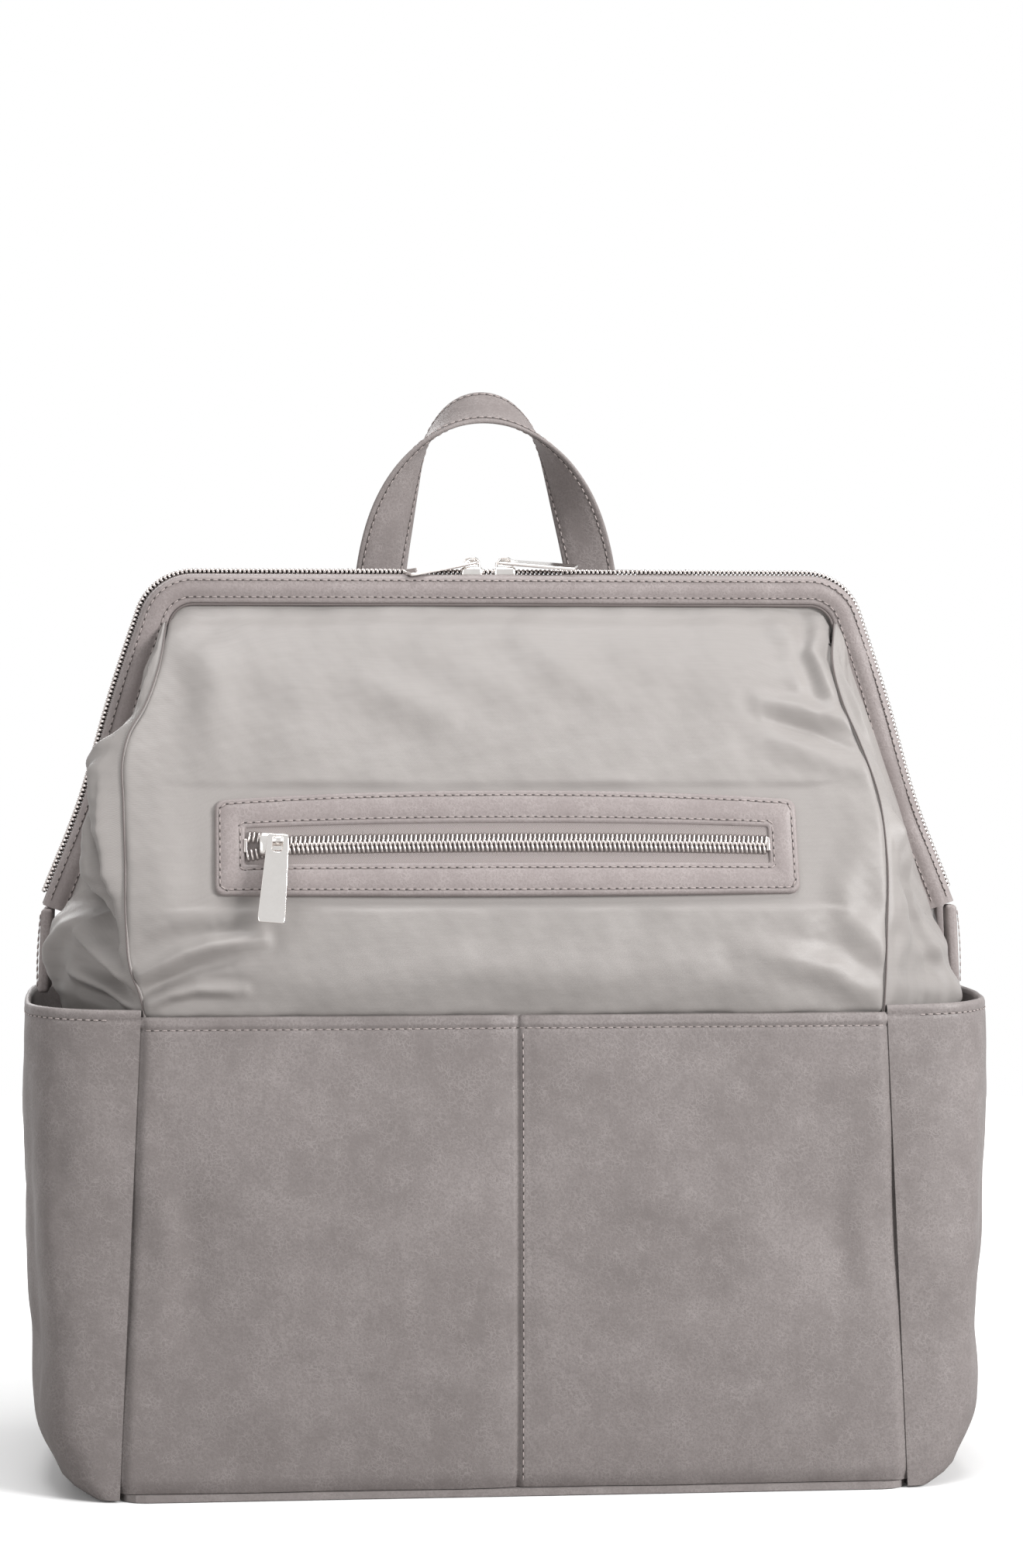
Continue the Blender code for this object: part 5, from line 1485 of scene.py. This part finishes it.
def make_strap(side, sign):
    zs = np.linspace(0.3640, 0.1400, 70)
    middle, widths = strap_outline(zs)
    centre, normal = back_point(sign * middle, zs, 0.0072)
    ahead = np.gradient(centre, axis=0)
    ahead /= np.linalg.norm(ahead, axis=1, keepdims=True)
    across = np.cross(normal, ahead)
    ends = np.minimum(1.0, np.minimum(np.linspace(0, 1, 70), np.linspace(1, 0, 70)) * 9 + 0.72)
    rows = []
    for i in range(70):
        half = widths[i] / 2 * ends[i] - 0.0002
        thick = 0.0036 * ends[i]
        ring = [(half * math.copysign(abs(math.cos(a)) ** 0.55, math.cos(a)),
                 thick * math.copysign(abs(math.sin(a)) ** 0.75, math.sin(a)))
                for a in np.linspace(0, 2 * math.pi, 33)[:-1]]
        rows.append([centre[i] + across[i] * p + normal[i] * q for p, q in ring])
    mesh = grid_mesh("strap_pad", np.array(rows), ring=True, caps=True)
    pad = piece(f"strap_pad_{side}", mesh, "back", None, [f"shoulder_strap_{side}"])
    plump(pad, 0.003, 3.0, 0.0022)
    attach(pad, "root")
    for label, way in (("inner", -1), ("outer", 1)):
        edge = centre + across * (way * (widths / 2 * ends - 0.0010))[:, None]
        bead = [(0.0017 * math.cos(a), 0.0030 * math.sin(a)) for a in np.linspace(0, 2 * math.pi, 13)[:-1]]
        mesh = sweep("strap_binding", edge, across, normal, bead)
        piece(f"strap_binding_{label}_{side}", mesh, "webbing", "root")
        line = edge + across * (-way * 0.0022) + normal * 0.0040
        stitches(f"strap_stitches_{label}_{side}", line[2:-2], normal[2:-2], "root")

    path = np.array([(sign * STRAP_X, y, z) for y, z in ANCHOR_PATH])
    fine = np.linspace(0, len(path) - 1, 46)
    path = np.stack([through(list(enumerate(path[:, k])))(fine) for k in range(3)], axis=1)
    ahead = np.gradient(path, axis=0)
    ahead /= np.linalg.norm(ahead, axis=1, keepdims=True)
    across = np.broadcast_to((1.0, 0.0, 0.0), path.shape)
    up = np.cross(across, ahead)
    up *= np.sign(up[20][2])
    mesh = sweep("strap_anchor", path + up * 0.0013, across, up, strap_section(ANCHOR_WIDTH, 0.0024))
    piece(f"strap_anchor_leather_{side}", mesh, "leather", "root", [f"strap_anchor_{side}"])
    for row, way in enumerate((-1, 1)):
        line = path + across * way * (ANCHOR_WIDTH / 2 - 0.0026) + up * 0.0024
        stitches(f"anchor_stitches_{side}_{row}", line[3:-3], up[3:-3], "root")
    make_webbing(side, sign)


def make_webbing(side, sign):
    top = np.array((sign * WEBBING_TOP.x, WEBBING_TOP.y, WEBBING_TOP.z + 0.0080))
    low = np.array((sign * WEBBING_LOW.x, WEBBING_LOW.y, WEBBING_LOW.z))
    share = np.linspace(0, 1, 60)[:, None]
    path = top + (low - top) * share
    ahead = (low - top) / np.linalg.norm(low - top)
    up = np.array((0.0, 1.0, 0.0))
    across = np.cross(up, ahead)
    ones = np.ones((60, 1))
    width, thick = WEBBING_SIZE
    mesh = sweep("webbing", path, across * ones, up * ones, strap_section(width, thick, (), 0.0, 0.7))
    piece(f"webbing_{side}", mesh, "webbing", "root", [f"strap_webbing_{side}"])
    turn = Matrix((across, up, -ahead)).transposed().to_4x4()

    node_low, node_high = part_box(f"strap_adjuster_{side}")
    place = Matrix.Translation((node_low + node_high) / 2) @ turn
    wide, deep, tall = ADJUSTER_SIZE
    flat = Matrix.Rotation(math.radians(90), 4, "X")
    frame_outline = rounded_rectangle(wide, tall, 0.0028, 6, 1)
    slots = [rounded_rectangle(wide - 0.0064, 0.0044, 0.0012, 4, 1, (0.0, b)) for b in (-0.0046, 0.0046)]
    buckle = flat_piece("buckle", [frame_outline, *slots], 0.0020, 0.0004, Matrix.Translation((0, 0, 0.0018)))
    bar = rounded_box((wide - 0.005, 0.0042, 0.0016), (0, 0, 0.0022), 0.0006)
    under = flat_piece("buckle_rim", [rounded_rectangle(wide, tall, 0.0028, 6, 1),
                                      rounded_rectangle(wide - 0.0050, tall - 0.0056, 0.0016, 4, 1)],
                       0.0016, 0.0004, Matrix.Translation((0, 0, -0.0016)))
    mesh = joined("buckle", [buckle, bar, under])
    mesh.transform(place @ flat.inverted())
    piece(f"adjuster_{side}", mesh, "nickel", f"strap_adjuster_{side}", [f"strap_adjuster_{side}"])

    corner = low + ahead * TAB_SIZE[2] / 2
    mesh = rounded_box(TAB_SIZE, (0, 0, 0), 0.0014)
    mesh.transform(Matrix.Translation(Vector(corner)) @ turn)
    piece(f"strap_tab_leather_{side}", mesh, "leather", "root", [f"strap_tab_{side}"])
    ring = rounded_rectangle(TAB_SIZE[0] - 0.0052, TAB_SIZE[2] - 0.0052, 0.002, 4, 8)
    line = corner + ring[:, 0:1] * across + ring[:, 1:2] * ahead + up * (TAB_SIZE[1] / 2 + 0.0001)
    stitches(f"tab_stitches_{side}", line, up, "root", closed=True, pitch=0.0032, length=0.0024)


# ------------------------------------------------------------------ inside
def make_lining():
    """The lining bucket inside the lower walls, a little slack."""
    low, high = 0.0080, 0.2010
    zs = np.concatenate(((low, low), np.linspace(low + 0.002, high, 26)))
    rows = []
    for i, z in enumerate(zs):
        shrink = 0.06 if i == 0 else 0.0
        ring = rounded_rectangle((0.3080 - shrink) * 1.0, 0.1560 - shrink, 0.012, 6, 24, (0.0, -0.0052))
        slack = 0.0006 * waves(ring[:, 0] + ring[:, 1], z, 51, 0.05) * (z > low)
        centre = np.array((0.0, -0.0052))
        inward = 1 - np.abs(slack) / 0.08
        plan = centre + (ring - centre) * inward[:, None]
        rows.append(np.column_stack((plan, np.full(len(ring), z))))
    points = np.array(rows)
    mesh = grid_mesh("lining_bucket", points, ring=True, caps=False)
    bm = bmesh.new()
    bm.from_mesh(mesh)
    bm.verts.ensure_lookup_table()
    bm.faces.new([bm.verts[i] for i in range(points.shape[1])])
    bmesh.ops.recalc_face_normals(bm, faces=bm.faces)
    bm.to_mesh(mesh)
    bm.free()
    made = piece("lining_bucket", mesh, "lining", None, ["lining"])
    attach(thicken(made, 0.0008, inside=False), "root")


def dress_kept_nodes():
    """CAD nodes whose shape stays: they only get a better material."""
    kept = {
        "bottom_panel": "leather",
        "base_board": "board",
        "pocket_pouch": "lining",
        "front_frame_wire": "steel",
        "rear_frame_wire": "steel",
    }
    for name, look in kept.items():
        data = NODES[name].data
        if not data.uv_layers:
            data.uv_layers.new(name="weave")
        data.materials.clear()
        data.materials.append(LOOKS[look][0])


# ------------------------------------------------------------------ studio
def area_light(name, place, target, size, power, tint=(1.0, 1.0, 1.0), shine=1.0):
    data = bpy.data.lights.new(name, "AREA")
    data.specular_factor = shine
    data.shape = "RECTANGLE"
    data.size, data.size_y = size
    data.energy = power
    data.color = tint
    lamp = bpy.data.objects.new(name, data)
    bpy.context.scene.collection.objects.link(lamp)
    lamp.location = place
    lamp.rotation_mode = "QUATERNION"
    lamp.rotation_quaternion = (Vector(target) - Vector(place)).to_track_quat("-Z", "Y")


def make_studio():
    paper = Shades("studio_floor", 0.9, specular=0.1)
    grain = paper.noise("Object", 3.0)
    shade = paper.mix(paper.spread(grain, 0.3, 0.7, 0.0, 0.3), (0.95, 0.95, 0.95), (0.93, 0.93, 0.93))
    # white to look at, but it throws little light back up
    seen = paper.node("ShaderNodeLightPath").outputs["Is Camera Ray"]
    shade = paper.mix(seen, (0.40, 0.39, 0.385), shade)
    away = paper.node("ShaderNodeVectorMath", {"operation": "LENGTH"}, _0=paper.coordinates.outputs["Object"])
    glow = paper.spread(away.outputs["Value"], 0.30, 1.2, 0.02, 0.60)
    paper.tree.links.new(glow, paper.shader.inputs["Emission Strength"])
    paper.shader.inputs["Emission Color"].default_value = (1.0, 1.0, 1.0, 1.0)
    mesh = bpy.data.meshes.new("floor")
    turns = np.linspace(0, 2 * math.pi, 97)[:-1]
    mesh.from_pydata([(1.6 * math.cos(a), 1.6 * math.sin(a), -0.0004) for a in turns], [], [tuple(range(96))])
    mesh.materials.append(paper.finish(shade))
    floor = bpy.data.objects.new("floor", mesh)
    bpy.context.scene.collection.objects.link(floor)

    world = bpy.data.worlds.new("studio")
    bpy.context.scene.world = world
    world.use_nodes = True
    tree = world.node_tree
    backdrop = tree.nodes["Background"]
    backdrop.inputs["Color"].default_value = (1.0, 1.0, 1.0, 1.0)
    # seen plainly the paper is white; as a light it is soft and dim
    path = tree.nodes.new("ShaderNodeLightPath")
    strength = tree.nodes.new("ShaderNodeMapRange")
    strength.inputs["To Min"].default_value = 0.24
    strength.inputs["To Max"].default_value = 1.0
    bright = tree.nodes.new("ShaderNodeMath")
    bright.operation = "MULTIPLY_ADD"
    bright.inputs[1].default_value = 0.72
    tree.links.new(path.outputs["Is Glossy Ray"], bright.inputs[0])
    tree.links.new(path.outputs["Is Camera Ray"], bright.inputs[2])
    tree.links.new(bright.outputs[0], strength.inputs["Value"])
    tree.links.new(strength.outputs["Result"], backdrop.inputs["Strength"])

    target = (0.0, 0.0, 0.28)
    area_light("key", (1.75, -1.5, 1.15), target, (0.9, 0.9), 72)
    area_light("fill", (-1.7, -1.8, 0.9), target, (1.5, 1.5), 15)
    area_light("top", (0.0, -0.3, 2.2), target, (1.4, 1.0), 30)
    area_light("rim", (-0.6, 2.0, 1.4), target, (1.4, 1.0), 22, shine=0.1)


def make_camera():
    data = bpy.data.cameras.new("camera")
    data.lens = 80.7
    data.sensor_width = 36.0
    camera = bpy.data.objects.new("camera", data)
    bpy.context.scene.collection.objects.link(camera)
    azimuth, elevation, distance = math.radians(-5.03), math.radians(1.0), 1.6
    target = Vector((0.0048, 0.0, 0.3059))
    back = Vector((math.sin(azimuth) * math.cos(elevation), -math.cos(azimuth) * math.cos(elevation),
                   math.sin(elevation)))
    camera.location = target + back * distance
    camera.rotation_mode = "QUATERNION"
    camera.rotation_quaternion = (-back).to_track_quat("-Z", "Y")
    bpy.context.scene.camera = camera


make_lower_front()
for pocket_side, pocket_sign in SIDES.items():
    make_side_pocket(pocket_side, pocket_sign)
make_upper_body()
make_rear_panel()
for hoop in HOOPS:
    make_hoop(hoop)
make_front_pocket()
make_metal()
make_handle()
make_back_pad()
for strap_side, strap_sign in SIDES.items():
    make_strap(strap_side, strap_sign)
make_lining()
dress_kept_nodes()
make_studio()
make_camera()
bpy.context.scene.view_settings.view_transform = "Standard"
